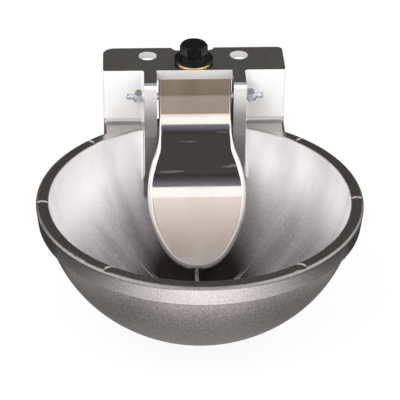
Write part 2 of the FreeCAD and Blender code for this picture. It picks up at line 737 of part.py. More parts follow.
def finish_casting(body):
    """Roundings of the lugs, the hollow corners, the rim and the bracket."""
    near = 0.02
    wall = size("casting_wall")
    gap, outside, wing = half_gap.value, lug_outside.value, wing_y.value
    rim, ease = size("rim_radius").value, size("rim_inner_round").value
    inner = bowl_radius_at(-size("rim_inner_round"), wall).value
    join = math.sqrt(rim ** 2 - half_bracket.value ** 2)

    def in_hollow(point):
        reach = math.hypot(point.x, point.y)
        if point.z > -ease - near:
            return point.z < -near and inner - near < reach < inner + ease + near
        return abs(reach - bowl_radius_at(dim(point.z), wall).value) < near

    def on_lug(point):
        return gap - near < abs(point.x) < outside + near and lug_y.value - near < point.y < wing + near

    def on_lug_side(point):
        return on_lug(point) and abs(point.x) > outside - near

    def on_lug_face(point):
        return on_lug(point) and abs(point.x) > gap + near

    def on_wing(point):
        return abs(point.y - wing) < near

    def on_rim_top(point):
        return abs(point.z) < near

    def hollow_corner(edge):
        points = samples(edge)
        return any(
            all(first(p) and second(p) for p in points)
            for first, second in (
                (on_lug_side, in_hollow), (on_lug_face, in_hollow), (on_lug_side, on_rim_top),
                (on_lug_side, on_wing), (on_wing, on_rim_top),
            )
        )

    round_edges(body, "hollow_corners", hollow_corner, size("hollow_round"))

    def outer_edge(edge):
        points = samples(edge)
        corner = all(abs(abs(p.x) - half_bracket.value) < near and abs(p.y - wing) < near for p in points)
        return corner or (ring_test(rim, 0)(edge) and min(v.Y for v in edge.Vertexes) < join - 1)

    round_edges(body, "outer_edges", outer_edge, size("outer_round"))
    round_edges(
        body, "band_foot_edge",
        lambda e: (
            ring_test(band_foot_radius.value, -size("band_height").value)(e)
            and min(v.Y for v in e.Vertexes) < join
        ),
        size("band_foot_round"),
    )


def make_tongue():
    """Pressed tongue: upper face, hollow knee, crest and spoon, with a turned-back flange."""
    sheet_thickness = size("sheet")
    half_neck = half_gap - size("tongue_side_gap")
    outer = tongue_blank("tongue_outer", ZERO, half_neck)
    inner = tongue_blank("tongue_inner", sheet_thickness, half_neck - sheet_thickness)
    shell = doc.addObject("Part::Cut", "tongue_shell")
    shell.Base = outer
    shell.Tool = inner
    holes = doc.addObject("Part::Cylinder", "tongue_axle_holes")
    bind(holes, "Radius", size("axle_radius") + size("running_fit"))
    bind(holes, "Height", size("lug_gap"))
    in_bowl(holes, ALONG_X, -half_gap, axle_y, axle_z)
    tongue = doc.addObject("Part::Cut", "tongue_plate")
    tongue.Label = "tongue_plate"
    tongue.Base = shell
    tongue.Tool = holes
    return tongue


def on_face(inset, along):
    """A point of the upper face (setback, height), set back from the outside, along the face from the axle."""
    lean = size("face_lean")
    ahead = face_reach - inset
    return (
        axle_y - ahead * cosine(lean) + along * sine(lean),
        axle_z + ahead * sine(lean) + along * cosine(lean),
    )


def tongue_corner(y, z, first, second, inset):
    """Corner point between two stretches of different lean, set back from the outside."""
    reach = inset / cosine((first - second) / 2)
    half_turn = (first + second) / 2
    return (y + reach * cosine(half_turn), z - reach * sine(half_turn))


def tongue_blank(name, inset, half_neck):
    """The space behind the tongue's face, inside the outline of its flange, with a rounded front edge."""
    lean, slope, spoon = size("face_lean"), size("slope_angle"), size("spoon_angle")
    crest_z = knee_z - (knee_y - crest_y) / tangent(slope)
    knee = tongue_corner(knee_y, knee_z, slope, lean, inset)
    crest = tongue_corner(crest_y, crest_z, slope, spoon, inset)
    knee_r = size("knee_radius") + inset
    crest_r = size("crest_radius") - inset
    knee_t = knee_r * tangent((slope - lean) / 2)
    crest_t = crest_r * tangent((slope - spoon) / 2)
    run = size("spoon_length") + size("spoon_centre") + size("flange_depth")
    depth = size("flange_depth")
    tip = (crest[0] - run * sine(spoon), crest[1] - run * cosine(spoon))
    is_inner = inset.value > 0
    top = on_face(inset, size("face_rise") + (depth if is_inner else ZERO))

    side = doc.addObject("Sketcher::SketchObject", f"{name}_side")
    outline = Outline(side, *top)
    outline.line(knee[0] + knee_t * sine(lean), knee[1] + knee_t * cosine(lean))
    outline.arc(knee[0] - knee_t * sine(slope), knee[1] - knee_t * cosine(slope), knee_r, "right")
    outline.line(crest[0] + crest_t * sine(slope), crest[1] + crest_t * cosine(slope))
    outline.arc(crest[0] - crest_t * sine(spoon), crest[1] - crest_t * cosine(spoon), crest_r, "left")
    outline.line(*tip)
    if is_inner:
        far = depth * 4
        outline.line(tip[0] + far * cosine(spoon), tip[1] - far * sine(spoon))
        outline.line(axle_y + far, crest_z)
        outline.line(axle_y + far, top[1])
    else:
        ear = size("ear_radius")
        outline.line(tip[0] + depth * cosine(spoon), tip[1] - depth * sine(spoon))
        outline.line(*tongue_corner(crest_y, crest_z, slope, spoon, depth))
        outline.line(*tongue_corner(knee_y, knee_z, slope, lean, depth))
        outline.line(*on_face(depth, ZERO - ear - depth))
        outline.line(axle_y + ear * sine(slope), axle_z - ear * cosine(slope))
        outline.arc(axle_y + ear * sine(lean), axle_z + ear * cosine(lean), ear, "left")
        outline.line(*on_face(size("face_top_depth"), size("face_rise")))
    outline.close()
    in_bowl(side, SIDE_VIEW, 0, 0, 0)

    front = doc.addObject("Sketcher::SketchObject", f"{name}_front")
    spoon_outline(front, inset, half_neck)
    centre = size("spoon_centre")
    turned_up = Rotation(Vector(1, 0, 0), 90 - spoon.value)
    in_bowl(
        front, turned_up, 0,
        crest_y - centre * sine(spoon), crest_z - centre * cosine(spoon),
    )

    slab = extrude(f"{name}_slab", side, size("spoon_half_width") * 2.2)
    prism = extrude(f"{name}_prism", front, size("spoon_length") * 4)
    blank = doc.addObject("Part::Common", f"{name}_blank")
    blank.Base = slab
    blank.Tool = prism
    doc.recompute()
    return round_tongue(name, blank, side, inset)


def extrude(name, sketch, length):
    """Part extrusion of a sketch, both ways along its normal."""
    solid = doc.addObject("Part::Extrusion", name)
    solid.Base = sketch
    solid.DirMode = "Normal"
    solid.Solid = True
    solid.Symmetric = True
    bind(solid, "LengthFwd", length)
    return solid


def spoon_outline(sketch, inset, half_neck):
    """Outline of the tongue seen square on to the spoon."""
    tip_r = size("spoon_tip_radius") - inset
    side_r = size("spoon_side_radius") - inset
    neck_r = size("neck_radius") + inset
    half_width = size("spoon_half_width") - inset
    length = size("spoon_length") - inset
    top = size("lug_gap") * 2
    # centres: tip on the axis, side arc inside the outline, neck arc outside it
    tip_v = tip_r - length
    side_u = half_width - side_r
    gap = side_r - tip_r
    side_v = tip_v + root(gap * gap - side_u * side_u)
    neck_u = half_neck + neck_r
    reach = side_r + neck_r
    across = neck_u - side_u
    neck_v = side_v + root(reach * reach - across * across)
    meet_u = side_u + across * side_r / reach
    meet_v = side_v + (neck_v - side_v) * side_r / reach
    tip_u = (ZERO - side_u) * tip_r / gap
    tip_join_v = tip_v + (tip_v - side_v) * tip_r / gap
    outline = Outline(sketch, half_neck, top)
    outline.line(-half_neck, top)
    outline.line(-half_neck, neck_v)
    outline.arc(-meet_u, meet_v, neck_r, "right")
    outline.arc(-half_width, side_v, side_r, "left")
    outline.arc(-tip_u, tip_join_v, side_r, "left")
    outline.arc(0, -length, tip_r, "left")
    outline.arc(tip_u, tip_join_v, tip_r, "left")
    outline.arc(half_width, side_v, side_r, "left")
    outline.arc(meet_u, meet_v, side_r, "left")
    outline.arc(half_neck, neck_v, neck_r, "right")
    outline.close()


def round_tongue(name, blank, side, inset):
    """Round the front edge: tight on the neck, growing down the slope to the spoon's full radius."""
    small = size("neck_round") - inset
    large = size("flange_round") - inset
    face_line = side.Shape.copy()
    knee_level = (knee_z - size("plate_height")).value
    crest_line = (crest_y - bolt_y).value
    edges = []
    for number, edge in enumerate(blank.Shape.Edges, start=1):
        middle = edge.valueAt((edge.FirstParameter + edge.LastParameter) / 2)
        if abs(middle.x) < 0.5 or not on_front(face_line, edge, inset):
            continue
        radii = []
        for vertex in (edge.valueAt(edge.FirstParameter), edge.valueAt(edge.LastParameter)):
            if vertex.z > knee_level - size("knee_radius").value / 2:
                radii.append(small.value)
            elif vertex.y < crest_line + size("spoon_centre").value + size("sheet").value:
                radii.append(large.value)
            else:
                radii.append((small.value + large.value) / 2)
        edges.append((number, radii[0], radii[1]))
    rounded = doc.addObject("Part::Fillet", name)
    rounded.Base = blank
    rounded.Edges = edges
    return rounded


def on_front(face_line, edge, inset):
    """True for an edge that lies on the face's line in side view."""
    front_edges = face_line.Edges[:5]
    for parameter in (0.25, 0.5, 0.75):
        point = edge.valueAt(edge.FirstParameter + (edge.LastParameter - edge.FirstParameter) * parameter)
        spot = Part.Vertex(Vector(face_line.BoundBox.XMin, point.y, point.z))
        if min(spot.distToShape(front)[0] for front in front_edges) > 0.01:
            return False
    return True


def make_axle_group():
    found = []
    axle_r = size("axle_radius")
    nut_length = size("nut_hex_height") + size("nut_collar_height")
    half = lug_outside + size("bush_nose") + nut_length + size("thread_stub")
    core = size("thread_core_radius")
    shoulder = lug_outside + size("bush_nose") - size("axle_chamfer")
    bevel = size("axle_chamfer")
    found.append(turned(
        "axle",
        [(0, -half), (core - bevel, -half), (core, bevel - half), (core, -shoulder),
         (axle_r, -shoulder), (axle_r, shoulder), (core, shoulder), (core, half - bevel),
         (core - bevel, half), (0, half)],
        ALONG_X, 0, axle_y, axle_z,
    ))
    bore = axle_r + size("running_fit")
    sleeve_half = half_gap - size("tongue_side_gap") - size("sheet")
    sleeve_r = axle_r + size("sleeve_wall")
    found.append(turned(
        "pivot_sleeve",
        [(bore, -sleeve_half), (sleeve_r, -sleeve_half), (sleeve_r, sleeve_half), (bore, sleeve_half)],
        ALONG_X, 0, axle_y, axle_z,
    ))
    for side, rotation, sign in (("left", AGAINST_X, -1), ("right", ALONG_X, 1)):
        found.append(lug_bush(f"lug_bush_{side}", rotation, sign * half_gap, axle_y, axle_z))
        seat = lug_outside + size("bush_nose")
        found.append(axle_nut(f"axle_nut_{side}", rotation, sign * seat, axle_y, axle_z))
    return found


def lug_bush(label, rotation, x, y, z):
    """Bush in a lug; its nose stands out towards the nut."""
    bore = size("axle_radius") + size("running_fit")
    outside = size("bush_radius") - size("seat_gap")
    length, nose = size("lug_width"), size("bush_nose")
    return turned(
        label,
        [(bore, 0), (outside, 0), (outside, length), (size("bush_nose_radius"), length),
         (size("bush_nose_radius"), length + nose), (bore, length + nose)],
        rotation, x, y, z,
    )


def axle_nut(label, rotation, x, y, z):
    """Hexagon nut with a clamping collar, chamfered at both ends of the hexagon."""
    bore = size("thread_core_radius") + size("seat_gap")
    body = new_body(label, rotation, x, y, z)
    flats, hex_h = size("nut_flats"), size("nut_hex_height")
    hexagon(body, f"{label}_hexagon", flats, hex_h, ZERO)
    corner = flats / 2 / cosine(dim(30))
    slope = (corner - flats / 2) * tangent(dim(30))
    for end, low, high in (("foot", ZERO, slope), ("head", hex_h, hex_h - slope)):
        sketch = body_sketch(body, f"{label}_{end}_chamfer", "XZ_Plane")
        outline = Outline(sketch, flats / 2, low)
        outline.line(corner, low)
        outline.line(corner, high)
        outline.close()
        revolve(body, f"{label}_{end}_cut", sketch, "PartDesign::Groove")
    sketch = body_sketch(body, f"{label}_collar_outline", "XZ_Plane")
    collar = size("nut_collar_radius")
    top = hex_h + size("nut_collar_height")
    ease = size("axle_chamfer")
    outline = Outline(sketch, 0, hex_h / 2)
    outline.line(collar, hex_h / 2)
    outline.line(collar, top - ease)
    outline.line(collar - ease, top)
    outline.line(0, top)
    outline.close()
    revolve(body, f"{label}_collar", sketch)
    cylinder(body, f"{label}_bore", bore, top * 2, UPRIGHT, 0, 0, -top / 2)
    return body


def make_valve_body():
    """Upright brass body with a pipe thread at each end and a side bore for the nozzle."""
    outside = size("body_radius")
    collar = outside + size("body_flange_step")
    top = size("plate_height")
    foot = top - size("body_length")
    port, chamber = size("port_radius"), size("chamber_radius")
    ease = size("axle_chamfer")
    groove = outside - size("ring_groove_depth")
    groove_top = lip_under - size("running_fit")
    groove_foot = groove_top - size("ring_thickness") - size("running_fit") * 2
    crown = top + size("body_flange_height")
    lower_end = foot + size("port_depth")
    upper_end = crown - size("port_depth")
    cone = (port - chamber) / 2
    body = turned(
        "valve_body",
        [(port, foot), (outside - ease, foot), (outside, foot + ease), (outside, groove_foot),
         (groove, groove_foot), (groove, groove_top), (outside, groove_top), (outside, top),
         (collar, top), (collar, crown), (port, crown), (port, upper_end),
         (chamber, upper_end - cone), (chamber, lower_end + cone), (port, lower_end)],
        UPRIGHT, 0, valve_y, 0,
    )
    cylinder(
        body, "nozzle_spot_face", size("spot_face_radius"), outside, AGAINST_Y,
        0, -flat_reach, nozzle_z,
    )
    box = body.newObject("PartDesign::SubtractiveBox", "front_flat")
    for prop, amount in (("Length", outside * 2), ("Width", outside), ("Height", lip_under - nozzle_z)):
        bind(box, prop, amount)
    box.Placement = Placement(Vector(-outside.value, -(flat_reach + outside).value, nozzle_z.value), UPRIGHT)
    bind(box, "Placement.Base.x", -outside)
    bind(box, "Placement.Base.y", -(flat_reach + outside))
    bind(box, "Placement.Base.z", nozzle_z)
    cylinder(
        body, "nozzle_thread_bore", size("nozzle_thread_radius"), outside * 2, AGAINST_Y,
        0, -chamber, nozzle_z,
    )
    cylinder(
        body, "valve_cross_bore", chamber, outside + chamber, AGAINST_Y, 0, chamber, nozzle_z,
    )
    return body


def make_retaining_ring():
    """Open ring that snaps into the valve body's groove under the pad, open at the front for the tab."""
    inner = size("body_radius") - size("ring_groove_depth") + size("seat_gap")
    outer = inner + size("ring_width")
    low = lip_under - size("running_fit") * 2 - size("ring_thickness")
    high = low + size("ring_thickness")
    body = new_body("retaining_ring", UPRIGHT, 0, valve_y, 0)
    sketch = body_sketch(body, "retaining_ring_outline", "YZ_Plane")
    outline = Outline(sketch, inner, low)
    outline.line(outer, low)
    outline.line(outer, high)
    outline.line(inner, high)
    outline.close()
    revolve(body, "retaining_ring_turning", sketch, opening=size("ring_opening"))
    return body


def forward(label, points):
    """A turned piece on the nozzle's axis; heights are counted forwards from the valve body's axis."""
    return turned(label, points, AGAINST_Y, 0, valve_y, nozzle_z)


def make_nozzle_group():
    found = []
    inner_end = size("chamber_radius")
    seat_face = flat_reach
    hex_foot = seat_face + size("washer_thickness")
    hex_top = hex_foot + size("nozzle_hex_height")
    mouth = hex_top + size("nozzle_snout")
    snout = size("nozzle_snout_radius")
    thread = size("nozzle_thread_radius") - size("running_fit")
    bore = size("nozzle_bore_radius")
    seat_r = size("seat_radius")
    seat_foot = inner_end - size("seat_stand")
    seat_top = seat_foot + size("seat_length")
    guide_r = size("guide_radius")
    guide_foot = mouth - size("guide_length")
    ease = size("axle_chamfer")

    nozzle = new_body("outlet_nozzle", AGAINST_Y, 0, valve_y, nozzle_z)
    sketch = body_sketch(nozzle, "nozzle_outline", "XZ_Plane")
    outline = Outline(sketch, 0, inner_end)
    for point in ((thread - ease, inner_end), (thread, inner_end + ease), (thread, hex_foot + ease),
                  (snout, hex_foot + ease), (snout, mouth - ease), (snout - ease, mouth), (0, mouth)):
        outline.line(*point)
    outline.close()
    revolve(nozzle, "nozzle_turning", sketch)
    hexagon(nozzle, "nozzle_hexagon", size("nozzle_flats"), size("nozzle_hex_height"), hex_foot)
    cylinder(nozzle, "nozzle_seat_bore", seat_r + size("seat_gap"), seat_top, UPRIGHT, 0, 0, 0)
    cylinder(nozzle, "nozzle_bore", bore, mouth * 2, UPRIGHT, 0, 0, 0)
    cylinder(nozzle, "nozzle_guide_bore", guide_r, mouth, UPRIGHT, 0, 0, guide_foot)
    found.append(nozzle)

    washer_r = size("spot_face_radius") - ease
    found.append(forward(
        "nozzle_washer",
        [(thread + ease, seat_face), (washer_r, seat_face), (washer_r, hex_foot), (thread + ease, hex_foot)],
    ))
    found.append(forward(
        "valve_seat",
        [(size("seat_bore_radius"), seat_foot), (seat_r - ease, seat_foot), (seat_r, seat_foot + ease),
         (seat_r, seat_top), (size("seat_bore_radius"), seat_top)],
    ))

    stem_bore = size("stem_radius") + size("running_fit")
    inside = guide_r - size("seat_gap")
    flange_top = mouth + size("guide_flange")
    guide = forward(
        "stem_guide",
        [(stem_bore, guide_foot), (inside, guide_foot), (inside, mouth), (snout - ease, mouth),
         (snout - ease, flange_top), (stem_bore, flange_top)],
    )
    hole = cylinder(
        guide, "water_hole", size("guide_hole_radius"), size("guide_length") * 3, UPRIGHT,
        (stem_bore + inside) / 2, 0, guide_foot - size("guide_length"),
    )
    around(guide, "water_holes", [hole], size("guide_hole_count"))
    found.append(guide)

    disc_top = seat_foot - size("disc_seat_gap")
    disc_foot = disc_top - size("disc_thickness")
    holder_foot = disc_foot - size("holder_thickness")
    spigot_foot = holder_foot - size("holder_spigot")
    tail = size("stem_tail_radius")
    stem_r = size("stem_radius")
    # the stem's end meets the leaning back of the tongue with its upper edge
    lean = size("face_lean")
    back = axle_y - (face_reach - size("sheet")) / cosine(lean) - size("nozzle_drop") * tangent(lean)
    tip = valve_y - back - stem_r * tangent(lean) - size("stem_contact_gap")
    found.append(forward(
        "valve_stem",
        [(0, spigot_foot + ease), (tail, spigot_foot + ease), (tail, disc_top),
         (size("stem_collar_radius"), disc_top), (size("stem_collar_radius"), disc_top + size("stem_collar")),
         (stem_r, disc_top + size("stem_collar")), (stem_r, tip - ease), (stem_r - ease, tip), (0, tip)],
    ))
    hole_r = tail + size("seat_gap")
    found.append(forward(
        "seal_disc",
        [(hole_r, disc_foot), (size("disc_radius"), disc_foot), (size("disc_radius"), disc_top),
         (hole_r, disc_top)],
    ))
    found.append(forward(
        "disc_holder",
        [(hole_r, spigot_foot), (size("holder_spigot_radius"), spigot_foot),
         (size("holder_spigot_radius"), holder_foot), (size("disc_radius"), holder_foot),
         (size("disc_radius"), disc_foot), (hole_r, disc_foot)],
    ))
    found.append(make_spring(holder_foot))
    return found


def make_spring(front):
    """Coil spring between the disc holder and the back of the valve chamber."""
    wire_r = size("spring_wire") / 2
    rear = -size("chamber_radius")
    body = new_body("valve_spring", AGAINST_Y, 0, valve_y, nozzle_z)
    sketch = body_sketch(body, "spring_wire_section", "XZ_Plane")
    circle_in(sketch, size("spring_coil_radius"), rear + wire_r + size("running_fit"), wire_r)
    coil = body.newObject("PartDesign::AdditiveHelix", "spring_coil")
    coil.Profile = sketch
    coil.ReferenceAxis = (sketch, ["V_Axis"])
    coil.Mode = "height-turns-growth"
    bind(coil, "Height", front - rear - size("spring_wire") - size("running_fit") * 2)
    bind(coil, "Turns", size("spring_turns"))
    return body


def make_plug():
    """Closing plug with a hollow shank, a flange with a hollow cone and a hexagonal head."""
    top = size("plate_height") + size("body_flange_height")
    flange_r, flange_h = size("plug_flange_radius"), size("plug_flange_height")
    neck_r, cone_h = size("plug_neck_radius"), size("plug_cone_height")
    shank = size("port_radius") - size("running_fit")
    seal = size("plug_seal_wire")
    ease = size("axle_chamfer")
    flats, head_h = size("plug_flats"), size("plug_head_height")
    hollow = shank - size("plug_wall")

    body = new_body("closing_plug", UPRIGHT, 0, valve_y, top)
    sketch = body_sketch(body, "plug_outline", "XZ_Plane")
    outline = Outline(sketch, 0, -size("plug_shank_length"))
    outline.line(shank - ease, -size("plug_shank_length"))
    outline.line(shank, ease - size("plug_shank_length"))
    outline.line(shank, -seal)
    outline.line(shank - seal, -seal)
    outline.line(shank - seal, 0)
    outline.line(flange_r, 0)
    outline.line(flange_r, flange_h - ease)
    outline.line(flange_r - ease, flange_h)
    outline.arc(neck_r, flange_h + cone_h, size("plug_flange_radius"), "right")
    outline.line(0, flange_h + cone_h)
    outline.close()
    revolve(body, "plug_turning", sketch)
    head_foot = flange_h + cone_h / 2
    hexagon(body, "plug_head", flats, head_h + cone_h / 2, head_foot)
    corner = flats / 2 / cosine(dim(30))
    head_top = flange_h + cone_h + head_h
    bevel = size("plug_head_chamfer")
    sketch = body_sketch(body, "plug_head_chamfer_outline", "XZ_Plane")
    outline = Outline(sketch, corner - bevel, head_top)
    outline.line(corner + bevel, head_top)
    outline.line(corner + bevel, head_top - bevel)
    outline.line(corner, head_top - bevel)
    outline.close()
    revolve(body, "plug_head_cut", sketch, "PartDesign::Groove")
    cylinder(
        body, "plug_hollow", hollow, size("plug_shank_length"), UPRIGHT, 0, 0, -size("plug_shank_length"),
    )
    ring = doc.addObject("Part::Torus", "plug_seal")
    ring.Label = "plug_seal"
    bind(ring, "Radius1", shank - seal / 2)
    bind(ring, "Radius2", seal / 2 - size("seat_gap"))
    in_bowl(ring, UPRIGHT, 0, valve_y, top - seal / 2)
    return [body, ring]


pieces.append(make_bowl())
pieces.append(make_tongue())
pieces.extend(make_axle_group())
pieces.append(make_valve_body())
pieces.append(make_retaining_ring())
pieces.extend(make_nozzle_group())
pieces.extend(make_plug())

doc.recompute()
for item in doc.Objects:
    if "Invalid" in item.State or "Error" in item.State:
        raise ValueError(f"{item.Label} failed: {item.State}")
for piece in pieces:
    shape = piece.Shape
    if shape.isNull() or not shape.isValid() or not shape.Solids:
        raise ValueError(f"{piece.Label} has no valid solid")
for piece in pieces:
    piece.Shape.exportStep(f"parts/{piece.Label}.step")
    box = piece.Shape.BoundBox
    print(
        f"{piece.Label:18s} solids {len(piece.Shape.Solids)} volume {piece.Shape.Volume:10.1f} "
        f"x {box.XMin:7.2f} {box.XMax:7.2f} y {box.YMin:7.2f} {box.YMax:7.2f} z {box.ZMin:7.2f} {box.ZMax:7.2f}"
    )
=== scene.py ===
"""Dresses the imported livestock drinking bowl: finishes for each piece, threads, floor, light and camera."""

import math
from types import SimpleNamespace

import bmesh
import bpy
from bpy.props import FloatProperty, FloatVectorProperty, IntProperty, PointerProperty
from mathutils import Matrix, Vector


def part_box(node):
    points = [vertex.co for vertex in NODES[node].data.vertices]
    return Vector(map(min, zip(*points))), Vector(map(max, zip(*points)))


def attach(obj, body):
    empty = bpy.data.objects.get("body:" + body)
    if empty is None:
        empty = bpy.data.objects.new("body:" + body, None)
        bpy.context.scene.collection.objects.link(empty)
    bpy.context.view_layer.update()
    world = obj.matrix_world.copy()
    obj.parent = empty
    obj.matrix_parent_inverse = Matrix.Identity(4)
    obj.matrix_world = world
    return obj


bl_info = {
    "name": "Livestock drinking bowl",
    "version": (1, 0, 0),
    "blender": (4, 5, 0),
    "location": "View3D > Sidebar > Drinking bowl",
    "description": "Finishes, threads and studio for a cast drinking bowl with a tongue valve",
    "category": "Object",
}

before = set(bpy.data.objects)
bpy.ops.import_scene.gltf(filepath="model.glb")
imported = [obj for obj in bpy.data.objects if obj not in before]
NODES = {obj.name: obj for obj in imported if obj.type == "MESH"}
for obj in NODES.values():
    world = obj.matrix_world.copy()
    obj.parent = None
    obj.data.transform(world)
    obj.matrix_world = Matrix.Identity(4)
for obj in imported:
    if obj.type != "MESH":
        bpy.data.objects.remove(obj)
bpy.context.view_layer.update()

# Places read from the frame; lengths here and below are in metres
axle_low, axle_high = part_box("axle")
AXLE_Y = (axle_low.y + axle_high.y) / 2
AXLE_Z = (axle_low.z + axle_high.z) / 2
RIM_HEIGHT = -0.049
BOWL_CENTRE = Vector((0.0, -0.151, RIM_HEIGHT))
FLOOR_GAP = 0.0005
FLOOR_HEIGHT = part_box("bowl_casting")[0].z - FLOOR_GAP

# Where the casting's finishes meet; a pair is the start and the end of the change
HOLLOW_MIDDLE = (0.0, BOWL_CENTRE.y, RIM_HEIGHT + 0.014)
HOLLOW_EDGE = (0.1225, 0.1215)
RIM_EDGE = (0.1170, 0.1180)
BELOW_RIM = (RIM_HEIGHT - 0.0002, RIM_HEIGHT - 0.0012)
UP_TO_RIM = (RIM_HEIGHT + 0.001, RIM_HEIGHT)
ABOVE_RIM = (RIM_HEIGHT, RIM_HEIGHT + 0.001)
BAND_FOOT = (RIM_HEIGHT - 0.0162, RIM_HEIGHT - 0.0172)
PLATE_TOP = (-0.012, -0.006)
# Painted shade on the shelf below the wings and on the lower part of the lugs
SHELF_TOP = (-0.044, -0.049)
SHELF_FOOT = (RIM_HEIGHT - 0.002, RIM_HEIGHT - 0.001)
SHELF_FRONT = (-0.060, -0.045)
BESIDE_LUG = (0.043, 0.044)
LUG_INNER_SIDE = (0.0305, 0.0315)
LUG_OUTER_SIDE = (0.0445, 0.0430)
LUG_HEIGHT = (-0.006, -0.038)
LUG_FRONT = (-0.0590, -0.0565)
LUG_BACK = (-0.030, -0.032)
# Painted shade: the inside goes darker towards the bottom, a little higher on the right
LOWER_SHADE_HEIGHT = (-0.076, -0.136)
LOWER_SHADE_RIGHT_SIDE = (0.05, 0.09)
LOWER_SHADE_RIGHT_RISE = 0.012
# Painted shadow of the tongue on the bottom of the inside
TONGUE_SHADOW_MIDDLE = (0.0, -0.118, 0.0)
TONGUE_SHADOW_RADIUS = (0.062, 0.032)
RIB_REACH = (0.1246, 0.1240)
RIB_HEIGHT = (-0.130, -0.134)

# Roughness of the casting's finishes, and the share of each that reflects as bare metal does
GROUND_ROUGH, INSIDE_ROUGH, TURNED_ROUGH, BLASTED_ROUGH, ROUNDING_AND_LUG_ROUGH = 0.27, 0.33, 0.26, 0.28, 0.48
GROUND_METAL, INSIDE_METAL, LOWER_INSIDE_METAL, BARE_METAL = 0.20, 0.25, 0.80, 1.0

# What the casting's colour is multiplied by: painted shade low in the inside, a painted shadow of the tongue,
# then clouds, streaks and pits
LOWER_SHADE_TONE = (0.50, 0.48, 0.49)
TONGUE_SHADOW_TONE = (0.10, 0.09, 0.08)
CLOUD_TONE = (0.86, 0.86, 0.85)
STREAK_TONE = (0.62, 0.61, 0.62)
PIT_TONE = (0.45, 0.44, 0.44)

# Colours of painted glints on the grain, and of rubbed edges that are partly a painted highlight
GLINT_COLOUR = (0.92, 0.92, 0.92)
RUBBED_EDGE_AND_HIGHLIGHT_COLOUR = (0.88, 0.87, 0.85)

# Heights and half width of the painted shade and highlight on the tongue, and of its scratches
NECK_START = (-0.0165, -0.0155)
FOLD_HIGHLIGHT = (-0.0148, -0.0155)
NECK_SHADE_FOOT = (-0.034, -0.028)
NECK_SHADE_SIDE = (0.022, 0.0)
SCRATCH_FOOT = (-0.072, -0.066)

METAL_LINE_DEPTH = 0.00001

# The axle's thread, from the middle of the axle outwards
THREAD_START, THREAD_END = 0.0514, 0.0569
THREAD_CORE, THREAD_CREST = 0.0024, 0.00296
TURN_STEPS = 20

# Reflection cards: name, radius, azimuth and elevation in degrees, tone at the foot and at the top, and
# the elevations where the tone changes, if not over the whole card
DARK = (0.066, 0.065, 0.059)
FRONT_WHITE = (1.25, 1.25, 1.25)
SIDE_WHITE = (1.35, 1.35, 1.35)
CARDS = (
    ("card_overhead", 3.0, (-35, 35), (67.5, 90), DARK, DARK, None),
    ("card_ceiling", 3.04, (-180, 180), (76, 90), DARK, DARK, None),
    ("card_front_high", 3.02, (-35, 35), (46.7, 68), (0.22, 0.21, 0.26), (0.048, 0.047, 0.048), None),
    ("card_front_white", 3.02, (-35, 35), (0, 46.7), FRONT_WHITE, FRONT_WHITE, None),
    ("card_front_warm", 3.0, (-20, 20), (14, 31), (0.41, 0.345, 0.295), (1.2, 1.1, 1.08), (25.5, 29.8)),
    ("card_back", 3.02, (128, 232), (-4, 62), (0.075, 0.069, 0.064), DARK, None),
    ("card_left", 3.02, (-125, -38), (12, 74), SIDE_WHITE, SIDE_WHITE, None),
    ("card_right", 3.02, (38, 125), (12, 74), SIDE_WHITE, SIDE_WHITE, None),
)
CARD_ROWS = 8

# Lamps: name, the setting with its power, place and size
LAMPS = (
    ("key", "key_power", (-0.9, -1.2, 1.7), 1.4),
    ("fill", "fill_power", (1.3, -0.6, 1.2), 1.6),
)

FLOOR_HALF_SIZE = 6.0
# How much of the white background the camera sees on the floor; the rest keeps the shadow
FLOOR_CAMERA_SHARE = 0.92
# Where metal sees the floor go dark: to the sides, behind, and a painted shadow beneath and beside the bowl
FLOOR_SIDEWAYS = (0.04, 0.25)
FLOOR_BEHIND = (-0.26, -0.10)
FLOOR_SHADOW = (0.27, 0.12)
FLOOR_NEAR_SHADOW = (0.27, 0.20)
FLOOR_NEAR_SHADOW_SIDE = (0.02, 0.12)


def colour_property(name, description, value):
    return FloatVectorProperty(
        name=name, description=description, default=value, size=3, subtype="COLOR", min=0, max=1
    )


class CastFinish(bpy.types.PropertyGroup):
    """Look of the cast and ground aluminium."""

    ground: colour_property("Ground faces", "Colour of faces ground after casting", (1.0, 0.995, 0.985))
    inside: colour_property("Inside", "Colour of the bowl's tumbled inside", (1.0, 0.985, 0.995))
    rim: colour_property("Rim", "Colour of the turned rim and its band", (0.70, 0.655, 0.64))
    outside: colour_property("Outside", "Colour of the blasted outside", (0.66, 0.60, 0.58))
    # painted shade: the colour of the shelf below the wings and of the lugs' lower part
    skin: colour_property("Cast skin", "Colour of the skin that no wheel reaches", (0.45, 0.43, 0.42))
    grain: FloatProperty(
        name="Grain", description="Size of the casting's grain", default=0.0013, unit="LENGTH"
    )
    grain_depth: FloatProperty(
        name="Grain depth", description="Depth of the casting's grain", default=0.00012, unit="LENGTH"
    )


class SteelFinish(bpy.types.PropertyGroup):
    """Look of the steel and brass pieces."""

    tongue: colour_property("Tongue", "Colour of the polished stainless tongue", (0.80, 0.76, 0.725))
    zinc: colour_property("Zinc", "Colour of the zinc plated nuts and axle", (0.78, 0.81, 0.87))
    spring: colour_property("Wire", "Colour of the spring and the stem", (0.60, 0.60, 0.60))
    brass: colour_property("Brass", "Colour of the turned brass", (0.83, 0.60, 0.22))
    thread_pitch: FloatProperty(
        name="Thread pitch", description="Pitch of the axle's thread", default=0.001, unit="LENGTH"
    )


class PlasticFinish(bpy.types.PropertyGroup):
    """Look of the plastic and rubber pieces."""

    plug: colour_property("Plug", "Colour of the closing plug", (0.004, 0.004, 0.005))
    bush: colour_property("Bush", "Colour of the bushes and the stem guide", (0.72, 0.71, 0.68))
    rubber: colour_property("Rubber", "Colour of the seals", (0.02, 0.02, 0.02))


